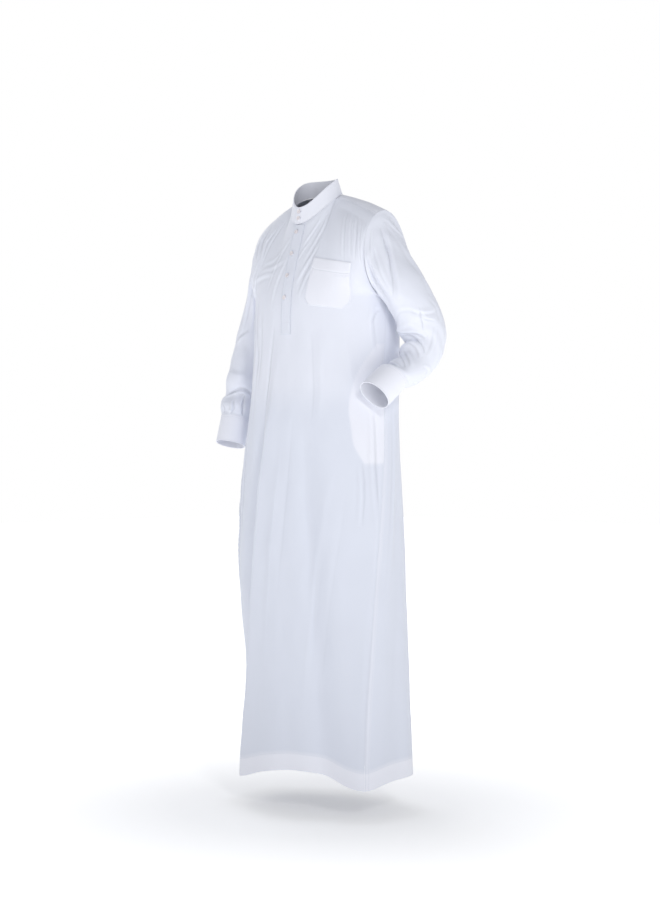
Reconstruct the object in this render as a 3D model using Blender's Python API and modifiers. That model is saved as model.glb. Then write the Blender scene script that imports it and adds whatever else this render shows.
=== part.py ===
"""A man's long white shirt robe, a thobe, filled out as it is worn and open at neck, cuffs and hem.

Units are metres. The robe faces -Y, the wearer's left is +X and +Z is up. The origin is the middle of
the neck, level with the points where the collar meets the shoulders, where the wearer carries the robe.
Cloth is built from one continuous outer surface. Neighbouring pieces share its points and normals along
a seam, and each piece is then drawn back from the seam and given its wall on the inside.
"""

import math
from collections import namedtuple

import bpy
import numpy as np
from mathutils import Matrix, Vector

# Cloth and seams
CLOTH = 0.0014
DOUBLE_CLOTH = 0.0024
COLLAR_WALL = 0.0020
SEAM_GAP = 0.00036
SHARPEST_CORNER = 0.35
LAID_GAP = 0.0008
BAG_GAP = 0.0022
BAG_SEAM_GAP = 0.0015

# Levels, measured from the neck
ARMPIT_Z = -0.2745
HEM_Z = -1.500
HEM_TURN_UP = 0.047
SLIT_END_Z = -0.355

# Horizontal sections of the body below the armholes
BodyRing = namedtuple("BodyRing", "z centre_x centre_y half_width front_depth back_depth")
BODY_RINGS = (
    BodyRing(-0.220, 0.000, 0.031, 0.196, 0.139, 0.146),
    BodyRing(-0.275, 0.000, 0.035, 0.200, 0.150, 0.150),
    BodyRing(-0.370, 0.000, 0.033, 0.203, 0.150, 0.152),
    BodyRing(-0.500, -0.004, 0.027, 0.213, 0.146, 0.154),
    BodyRing(-0.650, -0.008, 0.022, 0.227, 0.145, 0.158),
    BodyRing(-0.900, -0.006, 0.020, 0.234, 0.148, 0.162),
    BodyRing(-1.200, 0.000, 0.022, 0.240, 0.154, 0.165),
    BodyRing(-1.500, 0.004, 0.024, 0.246, 0.160, 0.170),
)

# Long folds that grow from their top towards the hem, angles in degrees from the front centre
# towards the wearer's left. A positive height is a ridge, given below its top and at the hem.
# A fold turns faster near its top, where it is narrower, and soon has its whole height.
FOLD_WIDTH_TOP = 0.55
FOLD_GROWN = 0.4
FOLD_CHANGES = 0.35
LongFold = namedtuple("LongFold", "angles z_top height height_hem width spread peak")
LONG_FOLDS = (
    LongFold((-4, -18.5, -34.5, -61), -0.33, 0.024, 0.017, 12, 2.2, 1.3),
    LongFold((-24, -38, -54, -84), -0.38, -0.019, -0.016, 12, 1.0, 2.0),
    LongFold((-72, -78, -90, -106), -0.46, 0.018, 0.012, 14, 1.0, 1.6),
    LongFold((-110, -118.2, -124.9, -130), -0.52, -0.010, -0.016, 12, 1.0, 2.0),
    LongFold((28, 35, 42, 48), -0.45, -0.015, -0.024, 13, 1.0, 2.0),
    LongFold((5, -0.3, -4.7, -8), -0.62, 0.006, 0.008, 17, 1.0, 2.0),
    LongFold((90, 81, 73.6, 68), -0.50, 0.008, 0.020, 9, 1.0, 1.4),
    LongFold((108, 100.6, 94.6, 90), -0.62, -0.006, -0.014, 11, 1.0, 2.0),
    LongFold((124, 119.5, 115.8, 113), -0.50, 0.010, 0.012, 14, 1.0, 1.8),
    LongFold((150, 145.1, 141.1, 138), -0.50, -0.010, -0.014, 13, 1.0, 2.0),
    LongFold((172, 168.3, 165.3, 163), -0.45, 0.010, 0.016, 13, 1.0, 1.8),
    LongFold((196, 193.5, 191.5, 190), -0.52, -0.008, -0.014, 13, 1.0, 2.0),
    LongFold((214, 213.6, 213.3, 213), -0.46, 0.010, 0.016, 13, 1.0, 1.7),
)
Dent = namedtuple("Dent", "z angle depth tall wide")
DENTS = (
    Dent(-0.42, -88, -0.008, 0.10, 26),
    Dent(-0.46, 78, -0.006, 0.10, 22),
    Dent(-0.95, -66, 0.013, 0.18, 30),
    Dent(-0.40, 128, 0.010, 0.20, 34),
    Dent(-0.36, -53, 0.006, 0.22, 30),
    Dent(-0.27, 53, 0.004, 0.13, 28),
)

# Height of the hem round the robe
HEM_HEIGHTS = (
    (-180, -1.490), (-120, -1.495), (-62, -1.505), (-20, -1.470), (20, -1.455),
    (45, -1.464), (67, -1.494), (82, -1.484), (110, -1.474), (150, -1.486), (180, -1.490),
)
TWIST = -22.0
TWIST_FROM = -0.45

# Neck seam and collar
NECK_WIDTH = 0.068
NECK_FRONT = 0.0655
NECK_BACK = 0.062
NECK_BACK_Z = -0.002
NECK_DROP = 0.0835
COLLAR_TOP_WIDTH = 0.0590
COLLAR_TOP_FRONT = 0.0610
COLLAR_TOP_BACK = 0.0450
COLLAR_BACK_Z = 0.036
COLLAR_DROP = 0.0786
NECK_DROP_CURVE = 2.2
COLLAR_DROP_CURVE = 2.6
COLLAR_LAP = 12.5
LAP_STEP = 0.0026
LAP_FLAT = 2.0
LAP_ENDS = 24.0

# Armhole, angles in degrees from the armpit over the front
ARMHOLE_TOP_Z = -0.0595
ARMHOLE_FRONT = 0.079
ARMHOLE_BACK = 0.070
SEAM_TIP = 150.0
YOKE_TIP = 228.0
ARMHOLE_TOP_OUT = 0.002
ARMHOLE_TOP_BACK = 0.003
RIGHT_SHOULDER_BACK = 0.016
YOKE_BACK = (0.0, 0.148, -0.112)
YOKE_CURVE = 2.2
SHOULDER_ROUND = 0.006

# The way the cloth rises into the seams above it, and how far in from the armhole that pulls it
FRONT_WAY_NECK = np.array((0.0, 0.34, 0.94))
FRONT_WAY_SHOULDER = np.array((0.0, 0.82, 0.57))
BACK_WAY = np.array((0.0, -0.52, 0.85))
ARMHOLE_PULL_SHARE = 0.40
CHEST_HEIGHT = 0.2
ARMPIT_EASE = 0.035
NECK_BLEND = 0.45

# Shares of the front's half width at which its columns lie; the neck's share ends at NECK_SHARE
NECK_SHARE = 0.436
SLIT_SHARE = 0.0085
FRONT_SHARES = (SLIT_SHARE, 0.047, 0.093, 0.165, 0.24, 0.31, 0.375, NECK_SHARE,
                0.51, 0.585, 0.66, 0.735, 0.81, 0.88, 0.945, 1.0)
BACK_COLUMNS = 11
SKIRT_ROWS = 21
HEM_STEP = 0.001
YOKE_ARM_COLUMNS = 4
FRONT_ARM_ROWS = 9
BACK_ARM_ROWS = 8
YOKE_ARM_SHARE = 0.42

# Sleeve sections: centre, tilt of the line from the inner to the outer side, lift of the front side
SleeveRing = namedtuple("SleeveRing", "out y z tilt lift half_out half_fore")
LEFT_SLEEVE = (
    SleeveRing(0.213, 0.038, -0.187, 86, 0, 0.0900, 0.073),
    SleeveRing(0.222, 0.040, -0.207, 79, 0, 0.0765, 0.069),
    SleeveRing(0.237, 0.046, -0.235, 66, 0, 0.0625, 0.067),
    SleeveRing(0.253, 0.057, -0.265, 45, -8, 0.0560, 0.066),
    SleeveRing(0.262, 0.069, -0.292, 26, -12, 0.0535, 0.065),
    SleeveRing(0.269, 0.086, -0.323, 16, -12, 0.0535, 0.062),
    SleeveRing(0.271, 0.101, -0.353, 12, 0, 0.0535, 0.060),
    SleeveRing(0.271, 0.103, -0.379, 9, 14, 0.0530, 0.056),
    SleeveRing(0.269, 0.102, -0.409, 6, 28, 0.0510, 0.050),
    SleeveRing(0.265, 0.087, -0.438, 3, 40, 0.0485, 0.044),
    SleeveRing(0.261, 0.063, -0.459, 2, 44, 0.0460, 0.040),
    SleeveRing(0.257, 0.036, -0.473, 2, 44, 0.0440, 0.040),
    SleeveRing(0.254, 0.008, -0.477, 2, 44, 0.0390, 0.043),
    SleeveRing(0.247, -0.052, -0.524, 2, 44, 0.0360, 0.045),
)
RIGHT_SLEEVE = (
    SleeveRing(0.217, 0.057, -0.187, 85, 0, 0.0920, 0.076),
    SleeveRing(0.226, 0.059, -0.210, 77, 0, 0.0770, 0.072),
    SleeveRing(0.237, 0.062, -0.238, 60, 0, 0.0620, 0.068),
    SleeveRing(0.248, 0.064, -0.270, 38, 0, 0.0540, 0.065),
    SleeveRing(0.263, 0.065, -0.305, 20, 0, 0.0530, 0.062),
    SleeveRing(0.277, 0.062, -0.345, 12, 2, 0.0540, 0.060),
    SleeveRing(0.286, 0.055, -0.385, 9, 6, 0.0530, 0.058),
    SleeveRing(0.291, 0.044, -0.425, 5, 10, 0.0510, 0.056),
    SleeveRing(0.293, 0.029, -0.470, 2, 14, 0.0480, 0.053),
    SleeveRing(0.292, 0.012, -0.512, 0, 16, 0.0440, 0.046),
    SleeveRing(0.289, -0.006, -0.550, -2, 18, 0.0420, 0.044),
    SleeveRing(0.286, -0.016, -0.575, -3, 18, 0.0385, 0.042),
    SleeveRing(0.282, -0.040, -0.643, -3, 16, 0.0365, 0.041),
)
SLEEVE_STEPS = 2
CUFF_ROWS = 3

# Creases of a sleeve: place along it in sections, angle round it, reach of each, height
SleeveFold = namedtuple("SleeveFold", "along around slant reach_along reach_around height")
LEFT_FOLDS = (
    SleeveFold(7.1, 65, 0.0, 0.75, 55, 0.011),
    SleeveFold(8.5, 75, 0.0, 0.50, 60, -0.011),
    SleeveFold(9.6, 70, 0.0, 0.50, 60, 0.008),
    SleeveFold(11.4, 60, 0.0, 0.55, 70, 0.006),
    SleeveFold(12.3, 80, 0.0, 0.45, 70, -0.004),
    SleeveFold(2.2, 95, 0.0, 2.2, 14, 0.007),
    SleeveFold(2.4, 66, 0.0, 2.0, 12, -0.008),
)
RIGHT_FOLDS = (
    SleeveFold(9.2, 70, 0.0, 0.50, 70, 0.006),
    SleeveFold(10.2, 60, 0.0, 0.40, 60, -0.007),
    SleeveFold(11.0, 110, 0.0, 0.45, 80, 0.004),
    SleeveFold(2.2, 95, 0.0, 2.2, 14, 0.006),
    SleeveFold(2.4, 62, 0.0, 2.0, 12, -0.007),
)

# What lies on the front, in x and z
PLACKET_LEFT_X = 0.022
PLACKET_RIGHT_X = -0.011
PLACKET_END_Z = -0.369
POCKET_CORNERS = ((0.072, -0.176), (0.180, -0.196), (0.165, -0.311), (0.062, -0.296))
POCKET_CLIP = 0.145
POCKET_COLUMNS = 8
POCKET_ROWS = 8
BAG_OUTLINE_Z = ((-0.392, 0.925), (-0.434, 0.830), (-0.470, 0.762), (-0.510, 0.728), (-0.560, 0.718),
                 (-0.600, 0.742), (-0.650, 0.778), (-0.695, 0.860))
BAG_SEAM_SHARE = 0.985
BAG_COLUMNS = 5
BAG_ROWS = 8
PLACKET_ROWS = 12
PLACKET_COLUMNS = 3
PLACKET_TOP_GAP = 0.0015

# Where the search for a place on the front starts, and how often it is bettered
CHEST_HALF_WIDTH = 0.24
CHEST_RISE = 0.20
SEARCH_STEPS = 12

# Buttons
BUTTON_RADIUS = 0.0052
BUTTON_THICK = 0.0022
BUTTON_RIM = 0.00066
BUTTON_GAP = 0.0005
COLLAR_BUTTON_HEIGHTS = (0.74, 0.34)
PLACKET_BUTTON_Z = (-0.1065, -0.1625, -0.219, -0.275)

WHITE_CLOTH = (0.80, 0.82, 0.88, 1.0)
DOUBLED_CLOTH = (0.88, 0.90, 0.95, 1.0)
PEARL = (0.66, 0.56, 0.50, 1.0)
CLOTH_ROUGHNESS = 0.85
PEARL_ROUGHNESS = 0.35
SHARP_EDGE = math.radians(50)


def clear_scene():
    """Start from an empty scene."""
    for item in list(bpy.data.objects):
        bpy.data.objects.remove(item, do_unlink=True)


def hermite(start, start_pull, end, end_pull, part):
    """Cubic between two places with given pulls at its ends."""
    square, cube = part**2, part**3
    return ((2 * cube - 3 * square + 1) * start + (cube - 2 * square + part) * start_pull
            + (3 * square - 2 * cube) * end + (cube - square) * end_pull)


def smooth_values(table, places):
    """Every column of a table, read smoothly at places along its first column."""
    rows = np.array(sorted(table), float)
    knots = rows[:, 0]
    slopes = np.gradient(rows, knots, axis=0)
    places = np.clip(np.asarray(places, float), knots[0], knots[-1])
    low = np.clip(np.searchsorted(knots, places, side="right") - 1, 0, len(knots) - 2)
    span = (knots[low + 1] - knots[low])[..., None]
    part = (places - knots[low])[..., None] / span
    return hermite(rows[low], slopes[low] * span, rows[low + 1], slopes[low + 1] * span, part)


def smooth_step(value, start, end):
    """0 before start, 1 after end, smooth between."""
    part = np.clip((value - start) / (end - start), 0.0, 1.0)
    return part * part * (3 - 2 * part)


def wrap(angle):
    """An angle in degrees brought to -180..180."""
    return (angle + 180.0) % 360.0 - 180.0


def fold_angle(angles, fall):
    """The cubic curve through four angles, at equal steps from a fold's top to the hem."""
    step = 3 * fall
    return (angles[0] * (1 - step) * (2 - step) * (3 - step) / 6 + angles[1] * step * (2 - step) * (3 - step) / 2
            + angles[2] * step * (step - 1) * (3 - step) / 2 + angles[3] * step * (step - 1) * (step - 2) / 6)


def fold_height(z, angle):
    """How far the folds and dents push the cloth out from its ring."""
    total = np.zeros(np.broadcast(z, angle).shape)
    for fold in LONG_FOLDS:
        fall = np.clip((fold.z_top - z) / (fold.z_top - HEM_Z), 0.0, 1.0)
        away = wrap(angle - fold_angle(fold.angles, fall))
        width = fold.width * (FOLD_WIDTH_TOP + (1 - FOLD_WIDTH_TOP) * fall)
        height = fold.height + (fold.height_hem - fold.height) * smooth_step(fall, FOLD_CHANGES, 1.0)
        shape = np.exp(-((np.abs(away) / (width * np.where(away > 0, fold.spread, 1.0))) ** fold.peak))
        total += height * smooth_step(fall, 0.0, FOLD_GROWN) * shape
    for dent in DENTS:
        away = (wrap(angle - dent.angle) / dent.wide) ** 2 + ((z - dent.z) / dent.tall) ** 2
        total += dent.depth * np.exp(-away)
    return total


def body_point(z, angle):
    """The outer cloth at a level at or below the armpits."""
    z, angle = np.broadcast_arrays(np.asarray(z, float), np.asarray(angle, float))
    ring = np.moveaxis(smooth_values(BODY_RINGS, z), -1, 0)
    across, ahead = np.sin(np.radians(angle)), np.cos(np.radians(angle))
    depth = np.where(ahead > 0, ring[4], ring[5])
    radius = 1 / np.sqrt((across / ring[3]) ** 2 + (ahead / depth) ** 2)
    radius = radius + fold_height(z, angle)
    fall = np.clip((ARMPIT_Z - z) / (ARMPIT_Z - HEM_Z), 0.0, 1.0)
    hem = smooth_values(HEM_HEIGHTS, wrap(angle))[..., 1]
    height = z + (hem - HEM_Z) * fall**2
    return np.stack((ring[1] + radius * across, ring[2] - radius * ahead, height), -1)


def twist(z):
    """The turn of the side seams and the cloth between them towards the hem."""
    return TWIST * smooth_step(-np.asarray(z, float), -TWIST_FROM, -HEM_Z)


def neck_point(angle):
    """The seam between the collar and the body, angle from the front centre."""
    across, ahead = np.sin(np.radians(angle)), np.cos(np.radians(angle))
    depth = np.where(ahead > 0, NECK_FRONT, NECK_BACK)
    height = NECK_BACK_Z - NECK_DROP * ((1 + ahead) / 2) ** NECK_DROP_CURVE
    return np.stack((NECK_WIDTH * across, -depth * ahead, height), -1)


def collar_top_point(angle):
    """The collar's upper edge."""
    across, ahead = np.sin(np.radians(angle)), np.cos(np.radians(angle))
    depth = np.where(ahead > 0, COLLAR_TOP_FRONT, COLLAR_TOP_BACK)
    height = COLLAR_BACK_Z - COLLAR_DROP * ((1 + ahead) / 2) ** COLLAR_DROP_CURVE
    return np.stack((COLLAR_TOP_WIDTH * across, -depth * ahead, height), -1)


def armhole_point(side, around):
    """The armhole seam, side +1 left or -1 right, around in degrees from the armpit over the front."""
    around = np.asarray(around, float)
    pit = body_point(ARMPIT_Z, side * 90.0)
    rise = (1 - np.cos(np.radians(around))) / 2
    sway = np.sin(np.radians(around))
    reach = np.where(sway > 0, ARMHOLE_FRONT, ARMHOLE_BACK)
    back = ARMHOLE_TOP_BACK + (RIGHT_SHOULDER_BACK if side < 0 else 0.0)
    y = pit[1] + back * rise - reach * sway
    z = pit[2] + (ARMHOLE_TOP_Z - ARMPIT_Z) * rise
    x = pit[0] + side * ARMHOLE_TOP_OUT * rise
    return np.stack(np.broadcast_arrays(x, y, z), -1)


def shoulder_seam(side, part):
    """The forward shoulder seam, from the neck to the armhole."""
    part = np.asarray(part, float)[..., None]
    start, end = neck_point(90.0 * side), armhole_point(side, SEAM_TIP)
    round_up = SHOULDER_ROUND * np.sin(np.pi * part)
    return start + (end - start) * part + round_up * np.array((0.0, 0.0, 1.0))


def yoke_seam(share):
    """The seam between yoke and back, share -1 at the right armhole to 1 at the left one."""
    share = np.asarray(share, float)
    reach = np.abs(share)[..., None]
    left, right = armhole_point(1, YOKE_TIP), armhole_point(-1, YOKE_TIP)
    end = np.where(share[..., None] > 0, left, right)
    middle = np.array(YOKE_BACK)
    x = end[..., 0:1] * reach
    rest = middle[1:] + (end[..., 1:] - middle[1:]) * reach**YOKE_CURVE
    return np.concatenate((x, rest), -1)


def upper_point(bottom, bottom_pull, top, top_way, level):
    """A column of cloth from the armpit's level to the seam above it."""
    length = np.linalg.norm(top - bottom, axis=-1, keepdims=True)
    top_way = top_way / np.linalg.norm(top_way, axis=-1, keepdims=True)
    return hermite(bottom, bottom_pull * length, top, top_way * length, level[..., None])


def ring_pull(angle):
    """The way the cloth rises through the armpit's level."""
    step = 0.01
    rise = body_point(ARMPIT_Z + step, angle) - body_point(ARMPIT_Z, angle)
    return rise / np.linalg.norm(rise, axis=-1, keepdims=True)


def front_top(share):
    """The front's upper edge: neck, then forward shoulder seam."""
    share = np.asarray(share, float)
    side = np.where(share < 0, -1, 1)
    neck = neck_point(90 * np.clip(share / NECK_SHARE, -1, 1))
    part = np.clip((np.abs(share) - NECK_SHARE) / (1 - NECK_SHARE), 0, 1)
    seam = np.where(side[..., None] > 0, shoulder_seam(1, part), shoulder_seam(-1, part))
    return np.where(np.abs(share)[..., None] <= NECK_SHARE, neck, seam)


def front_upper(share, level):
    """The front above the armpits, level 0 there and 1 at its upper edge. The further below that edge,
    the more of it is averaged, so that the corner of neck and shoulder leaves no crease down the chest."""
    turn = smooth_step(np.abs(share), 0.2, 0.8)[..., None]
    way = (1 - turn) * FRONT_WAY_NECK + turn * FRONT_WAY_SHOULDER
    offsets = np.linspace(-NECK_BLEND, NECK_BLEND, 9)
    top = np.mean([front_top(share + offset * (1 - level)) for offset in offsets], axis=0)
    angle = 90 * share
    return upper_point(body_point(ARMPIT_Z, angle), ring_pull(angle), top, way, level)


def eased(form, share, level):
    """A panel's form averaged over a little height about the armpits, where its two halves meet, so that
    the cloth bends softly there. Its side edges keep their places."""
    share, level = np.broadcast_arrays(np.asarray(share, float), np.asarray(level, float))
    place = form(share, level)
    height = np.where(level > 0, level * CHEST_HEIGHT, level)
    calm = 1 - smooth_step(np.abs(height), ARMPIT_EASE, 2 * ARMPIT_EASE)
    reach = ARMPIT_EASE * (1 - share**4) * calm
    near = reach > 1e-6
    if near.any():
        offsets = np.linspace(-0.9, 0.9, 9)
        parts = np.cos(offsets * np.pi / 2)
        total = 0.0
        for offset, part in zip(offsets, parts / parts.sum()):
            moved = height[near] + offset * reach[near]
            total = total + part * form(share[near], np.where(moved > 0, moved / CHEST_HEIGHT, moved))
        place[near] = total
    return place


def front_form(share, level):
    """The front's outer cloth. share runs from -1 at the right side seam to 1 at the left one. level is
    1 at the upper edge and 0 at the armpits, and below them it counts metres down."""
    share, level = np.broadcast_arrays(np.asarray(share, float), np.asarray(level, float))
    z = ARMPIT_Z + np.minimum(level, 0.0)
    lower = body_point(z, 90 * share + twist(z))
    rise = np.clip(level, 0.0, 1.0)
    upper = front_upper(share, rise)
    for side in (1, -1):
        edge = armhole_point(side, rise * SEAM_TIP)
        off = edge - front_upper(np.full_like(share, side), rise)
        weight = smooth_step(side * share, ARMHOLE_PULL_SHARE, 1.0)[..., None]
        upper = upper + off * weight
    return np.where(level[..., None] > 0, upper, lower)


def front_point(share, level):
    return eased(front_form, share, level)


def back_upper(share, level):
    """The back above the armpits."""
    way = np.broadcast_to(BACK_WAY, share.shape + (3,))
    angle = 180 - 90 * share
    return upper_point(body_point(ARMPIT_Z, angle), ring_pull(angle), yoke_seam(share), way, level)


def back_form(share, level):
    """The back's outer cloth, share from -1 at the right side seam to 1 at the left one."""
    share, level = np.broadcast_arrays(np.asarray(share, float), np.asarray(level, float))
    z = ARMPIT_Z + np.minimum(level, 0.0)
    lower = body_point(z, 180 - 90 * share + twist(z))
    rise = np.clip(level, 0.0, 1.0)
    upper = back_upper(share, rise)
    for side in (1, -1):
        edge = armhole_point(side, 360 - rise * (360 - YOKE_TIP))
        off = edge - back_upper(np.full_like(share, side), rise)
        weight = smooth_step(side * share, ARMHOLE_PULL_SHARE, 1.0)[..., None]
        upper = upper + off * weight
    return np.where(level[..., None] > 0, upper, lower)


def back_point(share, level):
    return eased(back_form, share, level)


def yoke_point(share, part):
    """The yoke's outer cloth. share is 1 at the left forward seam, 0 at the middle of the back and -1
    at the right forward seam, and part runs from the neck to the outer edge."""
    share, part = np.broadcast_arrays(np.asarray(share, float), np.asarray(part, float))
    neck = neck_point(180 - 90 * share)
    inner_share = 1 - YOKE_ARM_SHARE
    along = np.clip((1 - np.abs(share)) / YOKE_ARM_SHARE, 0, 1)
    around = SEAM_TIP + (YOKE_TIP - SEAM_TIP) * along
    arm = np.where(share[..., None] > 0, armhole_point(1, around), armhole_point(-1, around))
    seam = yoke_seam(np.clip(share / inner_share, -1, 1))
    outer = np.where(np.abs(share)[..., None] >= inner_share, arm, seam)
    round_up = SHOULDER_ROUND * np.sin(np.pi * part)[..., None]
    return neck + (outer - neck) * part[..., None] + round_up * np.array((0.0, 0.0, 1.0))


def collar_point(angle, part):
    """The collar's outer cloth, part 0 at the neck seam and 1 at the upper edge."""
    angle, part = np.broadcast_arrays(np.asarray(angle, float), np.asarray(part, float))
    low, high = neck_point(angle), collar_top_point(angle)
    place = low + (high - low) * part[..., None]
    lap = LAP_STEP * (1 - smooth_step(angle, LAP_FLAT, LAP_ENDS))
    out = np.stack((np.sin(np.radians(angle)), -np.cos(np.radians(angle)), np.zeros_like(angle)), -1)
    return place + out * lap[..., None]


def sleeve_frame(side, row):
    """Centre, outer line and front line of one sleeve section."""
    tilt, lift = math.radians(row.tilt), math.radians(row.lift)
    centre = np.array((side * row.out, row.y, row.z))
    outer = np.array((side * math.cos(tilt), 0.0, math.sin(tilt)))
    fore = np.array((0.0, -math.cos(lift), math.sin(lift)))
    fore -= outer * outer.dot(fore)
    return centre, outer, fore / np.linalg.norm(fore)


def sleeve_ring(side, row, around):
    """The points of one sleeve section."""
    centre, outer, fore = sleeve_frame(side, row)
    turn = np.radians(around)[..., None]
    return centre - outer * row.half_out * np.cos(turn) + fore * row.half_fore * np.sin(turn)


def at_row(values, row):
    """From values stacked by row, those of a given row at each place."""
    return np.take_along_axis(values, row[None, ..., None], 0)[0]


def sleeve_point(side, around, along):
    """The sleeve's outer cloth: along is 0 at the armhole and counts sections to the cuff seam."""
    rows = (LEFT_SLEEVE if side > 0 else RIGHT_SLEEVE)[:-1]
    folds = LEFT_FOLDS if side > 0 else RIGHT_FOLDS
    around, along = np.broadcast_arrays(np.asarray(around, float), np.asarray(along, float))
    rings = np.stack([armhole_point(side, around)] + [sleeve_ring(side, row, around) for row in rows])
    pulls = np.gradient(rings, axis=0)
    low = np.clip(along.astype(int), 0, len(rows) - 1)
    high = low + 1
    part = (along - low)[..., None]
    place = hermite(at_row(rings, low), at_row(pulls, low), at_row(rings, high), at_row(pulls, high), part)
    hole = armhole_point(side, np.arange(0, 360, 15)).mean(0)
    centres = np.array([hole] + [sleeve_frame(side, row)[0] for row in rows])
    out = place - centres[low] * (1 - part) - centres[high] * part
    out /= np.linalg.norm(out, axis=-1, keepdims=True)
    height = np.zeros(around.shape)
    for fold in folds:
        turn = wrap(around - fold.around)
        away = (turn / fold.reach_around) ** 2
        away = away + ((along - fold.along - fold.slant * turn) / fold.reach_along) ** 2
        height += fold.height * np.exp(-away)
    calm = smooth_step(along, 0.0, 1.0) * smooth_step(len(rows) - along, 0.0, 0.6)
    return place + out * (height * calm)[..., None]


def cuff_point(side, around, part):
    """The cuff's outer cloth, part 0 at the sleeve seam and 1 at its end."""
    rows = (LEFT_SLEEVE if side > 0 else RIGHT_SLEEVE)[-2:]
    around, part = np.broadcast_arrays(np.asarray(around, float), np.asarray(part, float))
    start, end = (sleeve_ring(side, row, around) for row in rows)
    return start + (end - start) * part[..., None]


class Sheet:
    """One piece of cloth as the triangles of its outer face, with the wall's thickness at each point."""

    def __init__(self, name, points, faces, wall, colour):
        self.name = name
        self.points = np.array(points, float).reshape(-1, 3)
        self.faces = np.array(faces, int)
        self.wall = np.broadcast_to(np.asarray(wall, float), len(self.points)).copy()
        self.colour = colour
        self.normals = None

    def face_normals(self):
        a, b, c = (self.points[self.faces[:, k]] for k in range(3))
        cross = np.cross(b - a, c - a)
        return cross / np.maximum(np.linalg.norm(cross, axis=1, keepdims=True), 1e-12)

    def rim(self):
        """The directed edges that only one face has."""
        edges = {}
        for a, b, c in self.faces:
            for edge in ((a, b), (b, c), (c, a)):
                edges[edge] = True
        return [edge for edge in edges if (edge[1], edge[0]) not in edges]


def grid_faces(rows, columns, left_out=(), closed=False, flip=False):
    """Two triangles for each cell of a grid of points, but for the cells that are left out."""
    faces = []
    for i in range(rows - 1):
        for j in range(columns if closed else columns - 1):
            if (i, j) in left_out:
                continue
            k = (j + 1) % columns
            a, b, c, d = i * columns + j, (i + 1) * columns + j, (i + 1) * columns + k, i * columns + k
            cell = [(a, b, c), (a, c, d)]
            faces += [(p, r, q) for p, q, r in cell] if flip else cell
    return faces


def share_normals(sheets):
    """Give each sheet the normals of all sheets together, so that seams have one normal."""
    sums = {}
    keys = []
    for sheet in sheets:
        names = [tuple(key) for key in np.round(sheet.points, 6)]
        keys.append(names)
        for face, normal in zip(sheet.faces, sheet.face_normals()):
            for k in range(3):
                here, one, two = sheet.points[face[k]], sheet.points[face[k - 1]], sheet.points[face[k - 2]]
                one, two = one - here, two - here
                size = np.linalg.norm(one) * np.linalg.norm(two)
                angle = math.acos(max(-1.0, min(1.0, one.dot(two) / max(size, 1e-12))))
                key = names[face[k]]
                sums[key] = sums.get(key, 0.0) + normal * angle
    for sheet, names in zip(sheets, keys):
        normals = np.array([sums.get(key, np.array((0.0, 0.0, 1.0))) for key in names])
        sheet.normals = normals / np.maximum(np.linalg.norm(normals, axis=1, keepdims=True), 1e-12)


def drawn_back(sheet, gap=SEAM_GAP / 2):
    """The sheet's points with those of its rim drawn back from the seam."""
    ways = {}
    for a, b in sheet.rim():
        along = sheet.points[b] - sheet.points[a]
        along /= np.linalg.norm(along)
        for point in (a, b):
            inward = np.cross(sheet.normals[point], along)
            ways.setdefault(point, []).append(inward / np.linalg.norm(inward))
    points = sheet.points.copy()
    for point, both in ways.items():
        total = sum(both)
        if len(both) == 2:
            points[point] += total * gap / max(1 + both[0].dot(both[1]), SHARPEST_CORNER)
        else:
            points[point] += total * gap / len(both)
    return points


def wall_mesh(name, outer, inner, faces, rim):
    """A closed wall between an outer and an inner copy of the same faces."""
    used = sorted({int(point) for face in faces for point in face})
    number = {point: k for k, point in enumerate(used)}
    count = len(used)
    verts = [tuple(outer[point]) for point in used] + [tuple(inner[point]) for point in used]
    solid = [tuple(number[int(p)] for p in face) for face in faces]
    solid += [tuple(number[int(p)] + count for p in reversed(face)) for face in faces]
    for a, b in rim:
        a, b = number[int(a)], number[int(b)]
        solid += [(b, a, a + count), (b, a + count, b + count)]
    mesh = bpy.data.meshes.new(name)
    mesh.from_pydata(verts, [], solid)
    mesh.validate()
    return mesh


def material(name, colour, roughness):
    """A plain material."""
    made = bpy.data.materials.new(name)
    made.use_nodes = True
    shader = made.node_tree.nodes["Principled BSDF"]
    shader.inputs["Base Color"].default_value = colour
    shader.inputs["Roughness"].default_value = roughness
    shader.inputs["Metallic"].default_value = 0.0
    return made


def add_object(collection, name, mesh, colour):
    """Put a mesh in the robe's collection with its own material."""
    made = bpy.data.objects.new(name, mesh)
    mesh.materials.append(material(name, colour, CLOTH_ROUGHNESS))
    mesh.shade_smooth()
    mesh.set_sharp_from_angle(angle=SHARP_EDGE)
    collection.objects.link(made)
    return made


def cloth_object(collection, sheet):
    """A cloth piece as a solid wall, drawn back from its seams."""
    outer = drawn_back(sheet)
    inner = outer - sheet.normals * sheet.wall[:, None]
    mesh = wall_mesh(sheet.name, outer, inner, sheet.faces, sheet.rim())
    return add_object(collection, sheet.name, mesh, sheet.colour)


def lower_levels():
    """Levels of the rows below the armpits, in metres down, with a close pair at the hem's turn-up."""
    top = SLIT_END_Z - ARMPIT_Z
    hem = HEM_Z - ARMPIT_Z
    turn_up = hem + HEM_TURN_UP
    rows = list(np.linspace(0, top, 3)) + list(np.linspace(top, turn_up, SKIRT_ROWS + 1)[1:-1])
    return np.array(rows + [turn_up + HEM_STEP, turn_up - HEM_STEP, hem + HEM_TURN_UP / 2, hem])


def body_wall(levels, columns):
    """Wall thickness of front or back: doubled below the hem's turn-up."""
    doubled = levels < HEM_Z - ARMPIT_Z + HEM_TURN_UP
    return np.repeat(np.where(doubled, DOUBLE_CLOTH, CLOTH), columns)


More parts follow.
